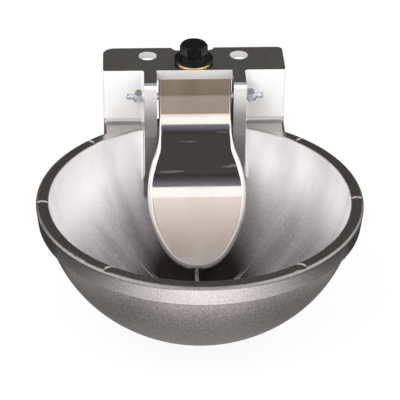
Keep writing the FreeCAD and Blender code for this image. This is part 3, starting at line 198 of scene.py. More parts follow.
class StudioSetup(bpy.types.PropertyGroup):
    """Floor, light and camera."""

    lens: FloatProperty(name="Lens", description="Focal length", default=165.15, unit="CAMERA")
    roll: FloatProperty(
        name="Roll", description="Turn of the camera about its view", default=math.radians(0.62),
        subtype="ANGLE",
    )
    place: FloatVectorProperty(
        name="Camera", description="Place of the camera", default=(-0.0579, -1.3995, 0.7110),
        subtype="TRANSLATION", unit="LENGTH",
    )
    aim: FloatVectorProperty(
        name="Aim", description="Point in the middle of the picture", default=(-0.00015, -0.15643, -0.049),
        subtype="TRANSLATION", unit="LENGTH",
    )
    floor: colour_property("Floor", "Colour of the floor", (0.93, 0.93, 0.93))
    key_power: FloatProperty(name="Key", description="Power of the main lamp", default=40, unit="POWER")
    fill_power: FloatProperty(name="Fill", description="Power of the fill lamp", default=20, unit="POWER")
    sky: FloatProperty(name="Sky", description="Strength of the soft surrounding light", default=0.70)
    floor_front: FloatProperty(
        name="Floor in front", description="How bright metal shows the floor in front", default=1.5
    )
    floor_side: FloatProperty(
        name="Floor aside", description="How bright metal shows the floor at the sides", default=0.05
    )
    card_segments: IntProperty(name="Card steps", description="Steps of a curved card", default=24)


# Node helpers
def put(tree, kind, **values):
    """A node with its settings and input values; an input's name is written with underscores."""
    item = tree.nodes.new(kind)
    for name, value in values.items():
        if hasattr(item, name):
            setattr(item, name, value)
        else:
            item.inputs[name.replace("_", " ")].default_value = value
    return item


def join(tree, source, target):
    tree.links.new(source, target)


def feed(tree, operand, target):
    """Link a socket to the input, or write a number, a vector or a colour into it."""
    if isinstance(operand, bpy.types.NodeSocket):
        tree.links.new(operand, target)
    elif target.type == "RGBA":
        target.default_value = tuple(operand)[:3] + (1.0,)
    elif target.type == "VECTOR":
        target.default_value = tuple(operand)
    else:
        target.default_value = operand


def calc(tree, operation, first, second=None, clamp=False):
    """A Math node; each operand is a socket or a number."""
    item = put(tree, "ShaderNodeMath", operation=operation, use_clamp=clamp)
    feed(tree, first, item.inputs[0])
    if second is not None:
        feed(tree, second, item.inputs[1])
    return item.outputs[0]


def vector_calc(tree, operation, first, second=None):
    """A Vector Math node; each operand is a socket or a vector."""
    item = put(tree, "ShaderNodeVectorMath", operation=operation)
    feed(tree, first, item.inputs[0])
    if second is not None:
        feed(tree, second, item.inputs[1])
    return item.outputs["Value" if operation in ("LENGTH", "DOT_PRODUCT") else "Vector"]


def product(tree, *values):
    """Product of several masks or numbers."""
    total = values[0]
    for value in values[1:]:
        total = calc(tree, "MULTIPLY", total, value)
    return total


def greatest(tree, *values):
    """Greatest of several masks or numbers."""
    most = values[0]
    for value in values[1:]:
        most = calc(tree, "MAXIMUM", most, value)
    return most


def rest_of(tree, mask):
    return calc(tree, "SUBTRACT", 1.0, mask)


def split(tree, vector):
    """The X, Y and Z of a vector."""
    item = put(tree, "ShaderNodeSeparateXYZ")
    join(tree, vector, item.inputs[0])
    return [item.outputs[axis] for axis in "XYZ"]


def ramp(tree, value, low, high, to_low=0.0, to_high=1.0):
    """Smooth change from to_low to to_high while the value goes from low to high."""
    item = put(
        tree, "ShaderNodeMapRange", interpolation_type="SMOOTHSTEP", From_Min=low, From_Max=high,
        To_Min=to_low, To_Max=to_high,
    )
    join(tree, value, item.inputs["Value"])
    return item.outputs["Result"]


def blend_colour(tree, factor, first, second):
    item = put(tree, "ShaderNodeMix", data_type="RGBA")
    for name, kind, operand in (("Factor", "VALUE", factor), ("A", "RGBA", first), ("B", "RGBA", second)):
        feed(tree, operand, next(s for s in item.inputs if s.name == name and s.type == kind))
    return next(s for s in item.outputs if s.type == "RGBA")


def blend_value(tree, factor, first, second):
    item = put(tree, "ShaderNodeMix", data_type="FLOAT")
    for index, operand in ((0, factor), (2, first), (3, second)):
        feed(tree, operand, item.inputs[index])
    return item.outputs[0]


def darken(tree, mask, colour, tone):
    """The colour, multiplied by the tone where the mask is."""
    return blend_colour(tree, mask, colour, vector_calc(tree, "MULTIPLY", colour, tone))


def new_group(name, inputs, outputs):
    """A shader node group with its sockets; inputs hold (name, socket type, default)."""
    group = bpy.data.node_groups.new(name, "ShaderNodeTree")
    for label, kind, default in inputs:
        socket = group.interface.new_socket(name=label, in_out="INPUT", socket_type=kind)
        if default is not None:
            socket.default_value = default
    for label, kind in outputs:
        group.interface.new_socket(name=label, in_out="OUTPUT", socket_type=kind)
    entry = group.nodes.new("NodeGroupInput")
    leave = group.nodes.new("NodeGroupOutput")
    return group, entry, leave


def use_group(tree, group, **values):
    item = put(tree, "ShaderNodeGroup", node_tree=group)
    for name, value in values.items():
        feed(tree, value, item.inputs[name.replace("_", " ")])
    return item


def noise(tree, vector, scale, **values):
    """A Noise Texture at the scale, which is a socket or a number."""
    item = put(tree, "ShaderNodeTexNoise", **values)
    join(tree, vector, item.inputs["Vector"])
    feed(tree, scale, item.inputs["Scale"])
    return item.outputs["Fac"]


# Shared effects
def make_grain_group():
    """Rounded grains of a casting or of bead blasting, from coarse and fine noise."""
    group, entry, leave = new_group(
        "cast_grain",
        [("Vector", "NodeSocketVector", None), ("Grain Size", "NodeSocketFloat", 0.001),
         ("Sharpness", "NodeSocketFloat", 0.5)],
        [("Height", "NodeSocketFloat"), ("Speck", "NodeSocketFloat")],
    )
    place = entry.outputs["Vector"]
    scale = calc(group, "DIVIDE", 1.0, entry.outputs["Grain Size"])
    cells = put(group, "ShaderNodeTexVoronoi", feature="F1")
    join(group, place, cells.inputs["Vector"])
    join(group, scale, cells.inputs["Scale"])
    fine = noise(group, place, product(group, scale, 0.8), Detail=4.0, Roughness=0.65)
    height = blend_value(group, entry.outputs["Sharpness"], fine, cells.outputs["Distance"])
    join(group, height, leave.inputs["Height"])
    speck = noise(group, place, product(group, scale, 1.6), Detail=2.0, Roughness=0.8)
    join(group, ramp(group, speck, 0.58, 0.74), leave.inputs["Speck"])
    return group


def make_smudge_group():
    """Soft cloudy patches, as wiping and handling leave them."""
    group, entry, leave = new_group(
        "smudges",
        [("Vector", "NodeSocketVector", None), ("Patch Size", "NodeSocketFloat", 0.03),
         ("Stretch", "NodeSocketVector", (1.0, 1.0, 1.0))],
        [("Mask", "NodeSocketFloat")],
    )
    stretched = vector_calc(group, "MULTIPLY", entry.outputs["Vector"], entry.outputs["Stretch"])
    scale = calc(group, "DIVIDE", 1.0, entry.outputs["Patch Size"])
    cloud = noise(group, stretched, scale, Detail=5.0, Roughness=0.55, Distortion=0.6)
    join(group, ramp(group, cloud, 0.32, 0.68), leave.inputs["Mask"])
    return group


def make_edge_group():
    """Edges and corners, found by comparing the face's normal with a rounded one."""
    group, entry, leave = new_group(
        "edge_wear",
        [("Vector", "NodeSocketVector", None), ("Radius", "NodeSocketFloat", 0.0008),
         ("Raggedness", "NodeSocketFloat", 0.5)],
        [("Mask", "NodeSocketFloat")],
    )
    rounded = put(group, "ShaderNodeBevel", samples=4)
    join(group, entry.outputs["Radius"], rounded.inputs["Radius"])
    surface = put(group, "ShaderNodeNewGeometry")
    likeness = vector_calc(group, "DOT_PRODUCT", rounded.outputs["Normal"], surface.outputs["Normal"])
    bend = ramp(group, likeness, 0.985, 0.90)
    ragged = noise(group, entry.outputs["Vector"], 900.0, Detail=3.0)
    wear_and_painted_light = product(group, bend, ramp(group, ragged, 0.35, 0.6))
    join(group, blend_value(group, entry.outputs["Raggedness"], bend, wear_and_painted_light), leave.inputs["Mask"])
    return group


def make_streak_group():
    """Streaks that run down a round wall towards its axis."""
    group, entry, leave = new_group(
        "radial_streaks",
        [("Vector", "NodeSocketVector", None), ("Centre", "NodeSocketVector", (0, 0, 0)),
         ("Count", "NodeSocketFloat", 6.0)],
        [("Mask", "NodeSocketFloat"), ("Fine", "NodeSocketFloat")],
    )
    count = entry.outputs["Count"]
    from_axis = vector_calc(group, "SUBTRACT", entry.outputs["Vector"], entry.outputs["Centre"])
    direction = vector_calc(group, "NORMALIZE", vector_calc(group, "MULTIPLY", from_axis, (1.0, 1.0, 0.0)))
    lifted = vector_calc(group, "ADD", direction, vector_calc(group, "MULTIPLY", from_axis, (0, 0, 3.0)))
    broad = noise(group, lifted, count, Detail=3.0, Roughness=0.5)
    join(group, ramp(group, broad, 0.34, 0.58), leave.inputs["Mask"])
    fine = noise(group, lifted, product(group, count, 7.0), Detail=4.0, Roughness=0.6)
    join(group, fine, leave.inputs["Fine"])
    return group


def make_brush_group():
    """Fine straight scratches of brushing or polishing along one direction."""
    group, entry, leave = new_group(
        "brushed_lines",
        [("Vector", "NodeSocketVector", None), ("Stretch", "NodeSocketVector", (30.0, 1.0, 1.0)),
         ("Scale", "NodeSocketFloat", 60.0)],
        [("Height", "NodeSocketFloat"), ("Scratch", "NodeSocketFloat")],
    )
    scale = entry.outputs["Scale"]
    stretched = vector_calc(group, "MULTIPLY", entry.outputs["Vector"], entry.outputs["Stretch"])
    join(group, noise(group, stretched, scale, Detail=6.0, Roughness=0.7), leave.inputs["Height"])
    rare = noise(group, stretched, product(group, scale, 0.35), Detail=1.0, Roughness=0.4, Distortion=0.4)
    join(group, ramp(group, rare, 0.70, 0.74), leave.inputs["Scratch"])
    return group


EFFECT_MAKERS = {
    "grain": make_grain_group,
    "smudges": make_smudge_group,
    "edges": make_edge_group,
    "streaks": make_streak_group,
    "brush": make_brush_group,
}
EFFECTS = {}


def effect(name):
    """The shared effect group of that name, built the first time it is used."""
    if name not in EFFECTS:
        EFFECTS[name] = EFFECT_MAKERS[name]()
    return EFFECTS[name]


# Materials
def empty_material(name):
    material = bpy.data.materials.new(name)
    material.use_nodes = True
    material.node_tree.nodes.clear()
    return material, material.node_tree


def new_material(name):
    """An empty material with a Principled shader and the object's own coordinates."""
    material, tree = empty_material(name)
    shader = put(tree, "ShaderNodeBsdfPrincipled")
    join(tree, shader.outputs["BSDF"], put(tree, "ShaderNodeOutputMaterial").inputs["Surface"])
    return material, tree, shader, put(tree, "ShaderNodeTexCoord").outputs["Object"]


def bump(tree, height, depth, strength, below=None):
    """Normal of a surface with the height on it, over an earlier normal if there is one."""
    item = put(tree, "ShaderNodeBump", Distance=depth)
    feed(tree, strength, item.inputs["Strength"])
    join(tree, height, item.inputs["Height"])
    if below is not None:
        join(tree, below, item.inputs["Normal"])
    return item.outputs["Normal"]


def cast_parts(tree, place):
    """Masks that say which part of the casting a point is on, with the finish it has and where shade is
    painted on it.
    """
    normal = put(tree, "ShaderNodeNewGeometry").outputs["Normal"]
    _, normal_y, normal_z = split(tree, normal)
    x, y, z = split(tree, place)
    aside = calc(tree, "ABSOLUTE", x)
    to_middle = vector_calc(tree, "SUBTRACT", HOLLOW_MIDDLE, place)
    facing_in = vector_calc(tree, "DOT_PRODUCT", vector_calc(tree, "NORMALIZE", to_middle), normal)
    distance = vector_calc(tree, "LENGTH", to_middle)
    reach = vector_calc(tree, "LENGTH", vector_calc(tree, "MULTIPLY", to_middle, (1, 1, 0)))

    inside = product(
        tree, ramp(tree, facing_in, 0.2, 0.4), ramp(tree, z, *BELOW_RIM), ramp(tree, reach, *HOLLOW_EDGE)
    )
    rim = product(tree, ramp(tree, reach, *RIM_EDGE), ramp(tree, z, *UP_TO_RIM), rest_of(tree, inside))
    # the rounded edge along the rim is darkened, painted shade over its reflection
    rounding = product(tree, rim, ramp(tree, normal_z, 0.05, 0.25), ramp(tree, normal_z, 0.99, 0.92))
    top = product(tree, ramp(tree, normal_z, 0.6, 0.8), ramp(tree, z, *PLATE_TOP))
    wall = product(tree, ramp(tree, facing_in, -0.3, -0.6), ramp(tree, z, *BAND_FOOT))
    # above the rim only the faces to the front are ground, the others keep the blasted finish
    bracket = product(
        tree, ramp(tree, normal_y, -0.45, -0.2), ramp(tree, z, *ABOVE_RIM), rest_of(tree, top)
    )
    # painted shade on the shelf below the wings and the lower part of the lugs, darkest at the lugs' foot
    shelf = product(
        tree, ramp(tree, z, *SHELF_TOP), ramp(tree, y, *SHELF_FRONT), ramp(tree, aside, *BESIDE_LUG),
        ramp(tree, z, *SHELF_FOOT),
    )
    lugs = product(
        tree, ramp(tree, z, *LUG_HEIGHT, 0.22, 1.0), ramp(tree, aside, *LUG_INNER_SIDE),
        ramp(tree, aside, *LUG_OUTER_SIDE), ramp(tree, y, *LUG_FRONT), ramp(tree, y, *LUG_BACK),
        ramp(tree, facing_in, 0.0, 0.3),
    )
    # painted shade: the inside is darker towards the bottom, reaching a little higher on the right
    height = calc(tree, "SUBTRACT", z, product(tree, ramp(tree, x, *LOWER_SHADE_RIGHT_SIDE), LOWER_SHADE_RIGHT_RISE))
    smudge_and_painted_shade = product(tree, inside, ramp(tree, height, *LOWER_SHADE_HEIGHT))
    # painted shadow of the tongue, darkest at its middle
    from_shadow_middle = vector_calc(tree, "SUBTRACT", place, TONGUE_SHADOW_MIDDLE)
    shadow_reach = vector_calc(tree, "LENGTH", vector_calc(tree, "MULTIPLY", from_shadow_middle, (1, 1, 0)))
    return SimpleNamespace(
        inside=inside, rim=rim, rounding=rounding, top=top, outside=greatest(tree, wall, bracket),
        shelf_and_lug_shade=greatest(tree, shelf, lugs), lugs=lugs, smudge_and_painted_shade=smudge_and_painted_shade,
        painted_tongue_shadow=product(tree, smudge_and_painted_shade, ramp(tree, shadow_reach, *TONGUE_SHADOW_RADIUS)),
        ribs=product(tree, inside, ramp(tree, distance, *RIB_REACH), ramp(tree, z, *RIB_HEIGHT)),
    )


def cast_colour(tree, finish, part, grain, cloud, streaks, edges):
    """Colour of the casting: each part's finish, painted shade low in the inside, on the rim's rounded edge,
    the shelf and the lugs' foot, a painted shadow of the tongue, then clouds, streaks, pits, painted glints
    and rubbed edges that are partly a painted highlight.
    """
    base = blend_colour(tree, part.rim, finish.ground, finish.rim)
    # painted shade on the rounded edge along the rim
    base = blend_colour(tree, part.rounding, base, [0.65 * c for c in finish.rim])
    base = blend_colour(tree, part.inside, base, finish.inside)
    base = blend_colour(tree, part.outside, base, finish.outside)
    # painted shade on the shelf below the wings and the lower part of the lugs
    base = blend_colour(tree, product(tree, part.shelf_and_lug_shade, 0.9), base, finish.skin)
    # painted shade: darker towards the bottom of the inside
    base = darken(tree, part.smudge_and_painted_shade, base, LOWER_SHADE_TONE)
    # painted shadow of the tongue on the bottom
    base = darken(tree, part.painted_tongue_shadow, base, TONGUE_SHADOW_TONE)
    base = blend_colour(tree, product(tree, part.ribs, 0.85), base, finish.ground)
    base = darken(tree, product(tree, rest_of(tree, cloud.outputs["Mask"]), 0.3), base, CLOUD_TONE)
    streaked = product(
        tree, rest_of(tree, streaks.outputs["Mask"]), part.inside, blend_value(tree, part.smudge_and_painted_shade, 0.5, 0.85)
    )
    base = darken(tree, streaked, base, STREAK_TONE)
    pits = greatest(
        tree, product(tree, part.outside, 0.8), product(tree, part.smudge_and_painted_shade, 0.5),
        product(tree, greatest(tree, part.rim, part.top), 0.35), 0.06,
    )
    pits = product(tree, ramp(tree, grain.outputs["Height"], 0.62, 0.30), pits)
    base = darken(tree, pits, base, PIT_TONE)
    # painted glints on the grain, most on the blasted outside, fewer in the painted shadow of the tongue
    painted_glints = product(
        tree, grain.outputs["Speck"], blend_value(tree, part.outside, 0.3, 0.6), rest_of(tree, part.painted_tongue_shadow)
    )
    base = blend_colour(tree, painted_glints, base, GLINT_COLOUR)
    # rubbed edges, partly a painted highlight
    return blend_colour(tree, product(tree, edges.outputs["Mask"], 0.2), base, RUBBED_EDGE_AND_HIGHLIGHT_COLOUR)


def cast_material(finish):
    """Aluminium casting: ground front faces, matt top, tumbled inside, turned rim, blasted outside, with
    painted shade low in the inside, on the rim's rounded edge, the shelf and the lugs' foot, and a painted
    shadow of the tongue.
    """
    material, tree, shader, place = new_material("cast_aluminium")
    part = cast_parts(tree, place)
    grain = use_group(tree, effect("grain"), Vector=place, Grain_Size=finish.grain, Sharpness=0.45)
    cloud = use_group(tree, effect("smudges"), Vector=place, Patch_Size=0.035)
    streaks = use_group(tree, effect("streaks"), Vector=place, Centre=BOWL_CENTRE, Count=3.2)
    edges = use_group(tree, effect("edges"), Vector=place, Radius=0.0009, Raggedness=0.6)
    base = cast_colour(tree, finish, part, grain, cloud, streaks, edges)
    join(tree, base, shader.inputs["Base Color"])

    # a ground or tumbled face scatters part of the light, a turned or blasted one hardly any
    metal = blend_value(tree, part.inside, GROUND_METAL, INSIDE_METAL)
    bare = greatest(tree, part.outside, part.rim, part.top, part.shelf_and_lug_shade)
    metal = blend_value(tree, bare, metal, BARE_METAL)
    join(tree, blend_value(tree, part.smudge_and_painted_shade, metal, LOWER_INSIDE_METAL), shader.inputs["Metallic"])

    rough = blend_value(tree, part.inside, GROUND_ROUGH, INSIDE_ROUGH)
    rough = blend_value(tree, greatest(tree, part.rim, part.top), rough, TURNED_ROUGH)
    rough = blend_value(tree, part.outside, rough, BLASTED_ROUGH)
    rough = blend_value(tree, greatest(tree, part.rounding, part.lugs), rough, ROUNDING_AND_LUG_ROUGH)
    height = grain.outputs["Height"]
    rough = calc(tree, "ADD", rough, product(tree, height, greatest(tree, part.outside, part.inside), 0.10))
    rough = calc(tree, "ADD", rough, product(tree, cloud.outputs["Mask"], -0.03))
    join(tree, rough, shader.inputs["Roughness"])

    strength = greatest(
        tree, part.outside, part.shelf_and_lug_shade, product(tree, part.inside, 0.15), product(tree, part.rim, 0.2)
    )
    grained = bump(tree, height, finish.grain_depth, strength)
    rippled = bump(tree, streaks.outputs["Fine"], 0.0005, product(tree, part.inside, 0.45), grained)
    join(tree, rippled, shader.inputs["Normal"])
    return material


def polished_material(colour):
    """Polished stainless sheet with faint drawing lines, smudges, a painted highlight along the fold, painted
    shade tinted tan on the neck and a little down its middle, and a few scratches.
    """
    material, tree, shader, place = new_material("polished_stainless")
    shader.inputs["Metallic"].default_value = 1.0
    x, _, z = split(tree, place)
    cloud = use_group(tree, effect("smudges"), Vector=place, Patch_Size=0.03, Stretch=(1.0, 0.4, 0.4))
    lines = use_group(tree, effect("brush"), Vector=place, Stretch=(1.0, 14.0, 14.0), Scale=70.0)
    scratch = product(tree, lines.outputs["Scratch"], ramp(tree, z, *SCRATCH_FOOT), 0.15)
    tone = blend_colour(tree, product(tree, cloud.outputs["Mask"], 0.25), colour, (0.70, 0.68, 0.66))
    # painted shade tinted tan on the neck above where the ears are folded back, and a little down its middle
    neck = ramp(tree, z, *NECK_START)
    middle = ramp(tree, calc(tree, "ABSOLUTE", x), *NECK_SHADE_SIDE, 0.0, 0.14)
    wear_and_painted_light = calc(tree, "ADD", product(tree, neck, 0.82), product(tree, middle, ramp(tree, z, *NECK_SHADE_FOOT)))
    tone = blend_colour(tree, wear_and_painted_light, tone, (0.41, 0.37, 0.30))
    # painted highlight along the fold at the foot of the neck
    fold_highlight = product(tree, neck, ramp(tree, z, *FOLD_HIGHLIGHT))
    tone = blend_colour(tree, product(tree, fold_highlight, 0.5), tone, (0.9, 0.89, 0.88))
    tone = blend_colour(tree, scratch, tone, (0.9, 0.9, 0.9))
    join(tree, tone, shader.inputs["Base Color"])
    rough = calc(tree, "ADD", 0.07, product(tree, cloud.outputs["Mask"], 0.05))
    join(tree, calc(tree, "ADD", rough, scratch), shader.inputs["Roughness"])
    join(tree, bump(tree, lines.outputs["Height"], METAL_LINE_DEPTH, 0.3), shader.inputs["Normal"])
    return material


def metal_material(name, colour, rough, grain_size, stretch=(1.0, 1.0, 1.0), metal=1.0):
    """Plated, drawn or turned metal with rubbed edges, lightened partly as a painted highlight."""
    material, tree, shader, place = new_material(name)
    shader.inputs["Metallic"].default_value = metal
    grain = use_group(tree, effect("grain"), Vector=place, Grain_Size=grain_size, Sharpness=0.2)
    lines = use_group(tree, effect("brush"), Vector=place, Stretch=stretch, Scale=500.0)
    edges = use_group(tree, effect("edges"), Vector=place, Radius=0.0004, Raggedness=0.3)
    cloud = use_group(tree, effect("smudges"), Vector=place, Patch_Size=0.006)
    smudge_and_painted_shade = [0.72 * c for c in colour]
    light = [min(1.0, 1.15 * c + 0.05) for c in colour]
    tone = blend_colour(tree, product(tree, cloud.outputs["Mask"], 0.6), colour, smudge_and_painted_shade)
    # edges lightened, partly rubbed and partly a painted highlight
    tone = blend_colour(tree, product(tree, edges.outputs["Mask"], 0.7), tone, light)
    join(tree, tone, shader.inputs["Base Color"])
    value = calc(tree, "ADD", rough, product(tree, grain.outputs["Height"], 0.12))
    join(tree, value, shader.inputs["Roughness"])
    join(tree, bump(tree, lines.outputs["Height"], METAL_LINE_DEPTH, 0.6), shader.inputs["Normal"])
    return material


def plastic_material(name, colour, rough, shine=0.35):
    """Moulded plastic or rubber with a fine spark texture and lighter edges, partly rubbed and partly a
    painted highlight.
    """
    material, tree, shader, place = new_material(name)
    shader.inputs["Specular IOR Level"].default_value = shine
    grain = use_group(tree, effect("grain"), Vector=place, Grain_Size=0.0005, Sharpness=0.3)
    edges = use_group(tree, effect("edges"), Vector=place, Radius=0.0005, Raggedness=0.5)
    cloud = use_group(tree, effect("smudges"), Vector=place, Patch_Size=0.009)
    light = [min(1.0, 1.3 * c + 0.006) for c in colour]
    # lighter edges, partly rubbed and partly a painted highlight
    tone = blend_colour(tree, product(tree, edges.outputs["Mask"], 0.5), colour, light)
    tone = blend_colour(tree, product(tree, cloud.outputs["Mask"], 0.3), tone, light)
    join(tree, tone, shader.inputs["Base Color"])
    value = calc(tree, "ADD", rough, product(tree, cloud.outputs["Mask"], 0.12))
    join(tree, value, shader.inputs["Roughness"])
    join(tree, bump(tree, grain.outputs["Height"], 0.00003, 0.5), shader.inputs["Normal"])
    return material


def dress(name, material):
    """Give a carried-over node its material in every slot."""
    node = NODES[name]
    if not node.material_slots:
        node.data.materials.append(material)
    for place in node.material_slots:
        place.material = material


# Pieces
def new_object(name, data):
    item = bpy.data.objects.new(name, data)
    bpy.context.scene.collection.objects.link(item)
    return item


def add_piece(name, mesh, body, material):
    item = new_object(name, mesh)
    item.data.materials.append(material)
    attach(item, body)


def mesh_of(shape, name):
    """The bmesh's shape as a mesh; the bmesh is freed."""
    mesh = bpy.data.meshes.new(name)
    shape.to_mesh(mesh)
    shape.free()
    return mesh


def thread_mesh(name, side, pitch):
    """The thread on the axle's left end (side -1) or right end (side 1)."""
    shape = bmesh.new()
    start = side * THREAD_START
    profile = ((0.0, THREAD_CORE), (0.44, THREAD_CREST), (0.56, THREAD_CREST), (1.0, THREAD_CORE))
    points = [shape.verts.new((start + side * pitch * along, 0, radius)) for along, radius in profile]
    edges = [shape.edges.new(pair) for pair in zip(points, points[1:])]
    turns = int((THREAD_END - THREAD_START - pitch) / pitch)
    bmesh.ops.spin(
        shape, geom=points + edges, cent=(0, 0, 0), axis=(1, 0, 0), dvec=(side * pitch / TURN_STEPS, 0, 0),
        angle=2 * math.pi * turns, steps=turns * TURN_STEPS, use_merge=False, use_normal_flip=False,
        use_duplicate=False,
    )
    bmesh.ops.translate(shape, verts=shape.verts, vec=(0, AXLE_Y, AXLE_Z))
    bmesh.ops.remove_doubles(shape, verts=shape.verts, dist=1e-7)
    bmesh.ops.recalc_face_normals(shape, faces=shape.faces)
    mesh = mesh_of(shape, name)
    mesh.polygons.foreach_set("use_smooth", [True] * len(mesh.polygons))
    return mesh


class DRINKINGBOWL_OT_casting(bpy.types.Operator):
    """Finish the aluminium casting"""

    bl_idname = "drinking_bowl.casting"
    bl_label = "Casting"

    def execute(self, context):
        dress("bowl_casting", cast_material(context.scene.bowl_cast_finish))
        return {"FINISHED"}


class DRINKINGBOWL_OT_tongue(bpy.types.Operator):
    """Finish the polished tongue and the sleeve behind it"""

    bl_idname = "drinking_bowl.tongue"
    bl_label = "Tongue"

    def execute(self, context):
        finish = context.scene.bowl_steel_finish
        dress("tongue_plate", polished_material(finish.tongue))
        dress("pivot_sleeve", metal_material("drawn_sleeve", finish.zinc, 0.25, 0.001))
        return {"FINISHED"}


class DRINKINGBOWL_OT_axle(bpy.types.Operator):
    """Finish the axle, its nuts and bushes, and add the axle's threads"""

    bl_idname = "drinking_bowl.axle"
    bl_label = "Axle"

    def execute(self, context):
        finish = context.scene.bowl_steel_finish
        zinc = metal_material("zinc_plated", finish.zinc, 0.15, 0.0006, (1.0, 6.0, 6.0), 0.85)
        bush = plastic_material("bush_plastic", context.scene.bowl_plastic_finish.bush, 0.4)
        for name in ("axle", "axle_nut_left", "axle_nut_right"):
            dress(name, zinc)
        for name in ("lug_bush_left", "lug_bush_right"):
            dress(name, bush)
        for name, side in (("axle_thread_left", -1), ("axle_thread_right", 1)):
            add_piece(name, thread_mesh(name, side, finish.thread_pitch), "bowl", zinc)
        return {"FINISHED"}


class DRINKINGBOWL_OT_valve(bpy.types.Operator):
    """Finish the valve body, the nozzle and what is in them"""

    bl_idname = "drinking_bowl.valve"
    bl_label = "Valve"

    def execute(self, context):
        finish = context.scene.bowl_steel_finish
        plastics = context.scene.bowl_plastic_finish
        brass = metal_material("turned_brass", finish.brass, 0.22, 0.0008, (6.0, 6.0, 40.0))
        wire = metal_material("bright_wire", finish.spring, 0.3, 0.0006)
        rubber = plastic_material("seal_rubber", plastics.rubber, 0.6)
        guide = plastic_material("guide_plastic", plastics.bush, 0.4)
        for name in ("valve_body", "outlet_nozzle", "valve_seat", "disc_holder"):
            dress(name, brass)
        for name in ("retaining_ring", "valve_stem", "valve_spring"):
            dress(name, wire)
        for name in ("seal_disc", "nozzle_washer"):
            dress(name, rubber)
        dress("stem_guide", guide)
        return {"FINISHED"}


class DRINKINGBOWL_OT_plug(bpy.types.Operator):
    """Finish the closing plug and its seal"""

    bl_idname = "drinking_bowl.plug"
    bl_label = "Plug"

    def execute(self, context):
        plastics = context.scene.bowl_plastic_finish
        dress("closing_plug", plastic_material("plug_plastic", plastics.plug, 0.22, 0.14))
        dress("plug_seal", plastic_material("plug_rubber", plastics.rubber, 0.5))
        return {"FINISHED"}


# Studio
def background_share(tree, path, camera_share):
    """Share of the white background that a ray sees: camera rays the given share, glossy ones all."""
    share = calc(tree, "MULTIPLY", path.outputs["Is Camera Ray"], camera_share)
    share = calc(tree, "ADD", share, path.outputs["Is Glossy Ray"], clamp=True)
    return calc(tree, "ADD", share, path.outputs["Is Transmission Ray"], clamp=True)


def mix_shaders(tree, factor, first, second):
    item = put(tree, "ShaderNodeMixShader")
    join(tree, factor, item.inputs[0])
    join(tree, first.outputs[0], item.inputs[1])
    join(tree, second.outputs[0], item.inputs[2])
    return item


def card_mesh(name, radius, azimuth, elevation, steps):
    """Part of a sphere shell between two azimuths and two elevations, in degrees; azimuth 0 is the front."""
    shape = bmesh.new()
    low, high = elevation
    angles = [math.radians(low + (high - low) * row / CARD_ROWS) for row in range(CARD_ROWS + 1)]
    points = [shape.verts.new((0, -radius * math.cos(a), radius * math.sin(a))) for a in angles]
    edges = [shape.edges.new(pair) for pair in zip(points, points[1:])]
    first, last = azimuth
    turn = Matrix.Rotation(math.radians(first), 3, "Z")
    bmesh.ops.rotate(shape, verts=shape.verts, cent=(0, 0, 0), matrix=turn)
    bmesh.ops.spin(
        shape, geom=points + edges, cent=(0, 0, 0), axis=(0, 0, 1), dvec=(0, 0, 0),
        angle=math.radians(last - first), steps=steps, use_merge=False, use_normal_flip=False,
        use_duplicate=False,
    )
    bmesh.ops.translate(shape, verts=shape.verts, vec=tuple(BOWL_CENTRE))
    return mesh_of(shape, name)


def card_material(name, low_colour, high_colour, low_height, high_height):
    """A glowing card with a soft change of tone from its foot to its top."""
    material, tree = empty_material(name)
    _, _, z = split(tree, put(tree, "ShaderNodeTexCoord").outputs["Object"])
    glow = put(tree, "ShaderNodeEmission", Strength=1.0)
    factor = ramp(tree, z, low_height, high_height)
    join(tree, blend_colour(tree, factor, low_colour, high_colour), glow.inputs["Color"])
    join(tree, glow.outputs[0], put(tree, "ShaderNodeOutputMaterial").inputs["Surface"])
    return material


def add_card(name, radius, azimuth, elevation, low_colour, high_colour, fade, segments):
    """A card that only reflections see; one that goes all round has twice the steps."""
    steps = segments * 2 if azimuth[1] - azimuth[0] == 360 else segments
    card = new_object(name, card_mesh(name, radius, azimuth, elevation, steps))
    heights = [BOWL_CENTRE.z + radius * math.sin(math.radians(angle)) for angle in fade or elevation]
    card.data.materials.append(card_material(name, low_colour, high_colour, *heights))
    card.visible_camera = False
    card.visible_diffuse = False
    card.visible_shadow = False
    card.visible_transmission = False
    card.visible_volume_scatter = False


def floor_material(setup):
    """Pale paper on white: it keeps the shadow, and metal sees it bright in front, dark to the sides and
    behind, with a painted shadow beneath and beside the bowl.
    """
    material, tree = empty_material("floor_paper")
    paper = put(tree, "ShaderNodeBsdfDiffuse", Color=tuple(setup.floor) + (1.0,))
    path = put(tree, "ShaderNodeLightPath")
    x, y, _ = split(tree, put(tree, "ShaderNodeTexCoord").outputs["Object"])
    aside = calc(tree, "ABSOLUTE", x)
    spot = put(tree, "ShaderNodeCombineXYZ")
    join(tree, x, spot.inputs["X"])
    join(tree, y, spot.inputs["Y"])
    from_bowl = vector_calc(tree, "SUBTRACT", spot.outputs[0], (0.0, BOWL_CENTRE.y, 0.0))
    distance = vector_calc(tree, "LENGTH", from_bowl)
    # painted shadow beneath and beside the bowl, seen only in reflections
    painted_shadow = ramp(tree, distance, *FLOOR_SHADOW, 0.0, 0.81)
    near_shadow = product(tree, ramp(tree, distance, *FLOOR_NEAR_SHADOW), ramp(tree, aside, *FLOOR_NEAR_SHADOW_SIDE), 0.5)
    painted_shadow = blend_value(tree, near_shadow, painted_shadow, 1.0)
    shaded = greatest(tree, ramp(tree, aside, *FLOOR_SIDEWAYS), ramp(tree, y, *FLOOR_BEHIND), painted_shadow)
    lit = blend_value(tree, shaded, setup.floor_front, setup.floor_side)
    glow = put(tree, "ShaderNodeEmission")
    join(tree, blend_value(tree, path.outputs["Is Camera Ray"], lit, 1.0), glow.inputs["Strength"])
    both = mix_shaders(tree, background_share(tree, path, FLOOR_CAMERA_SHARE), paper, glow)
    join(tree, both.outputs[0], put(tree, "ShaderNodeOutputMaterial").inputs["Surface"])
    return material


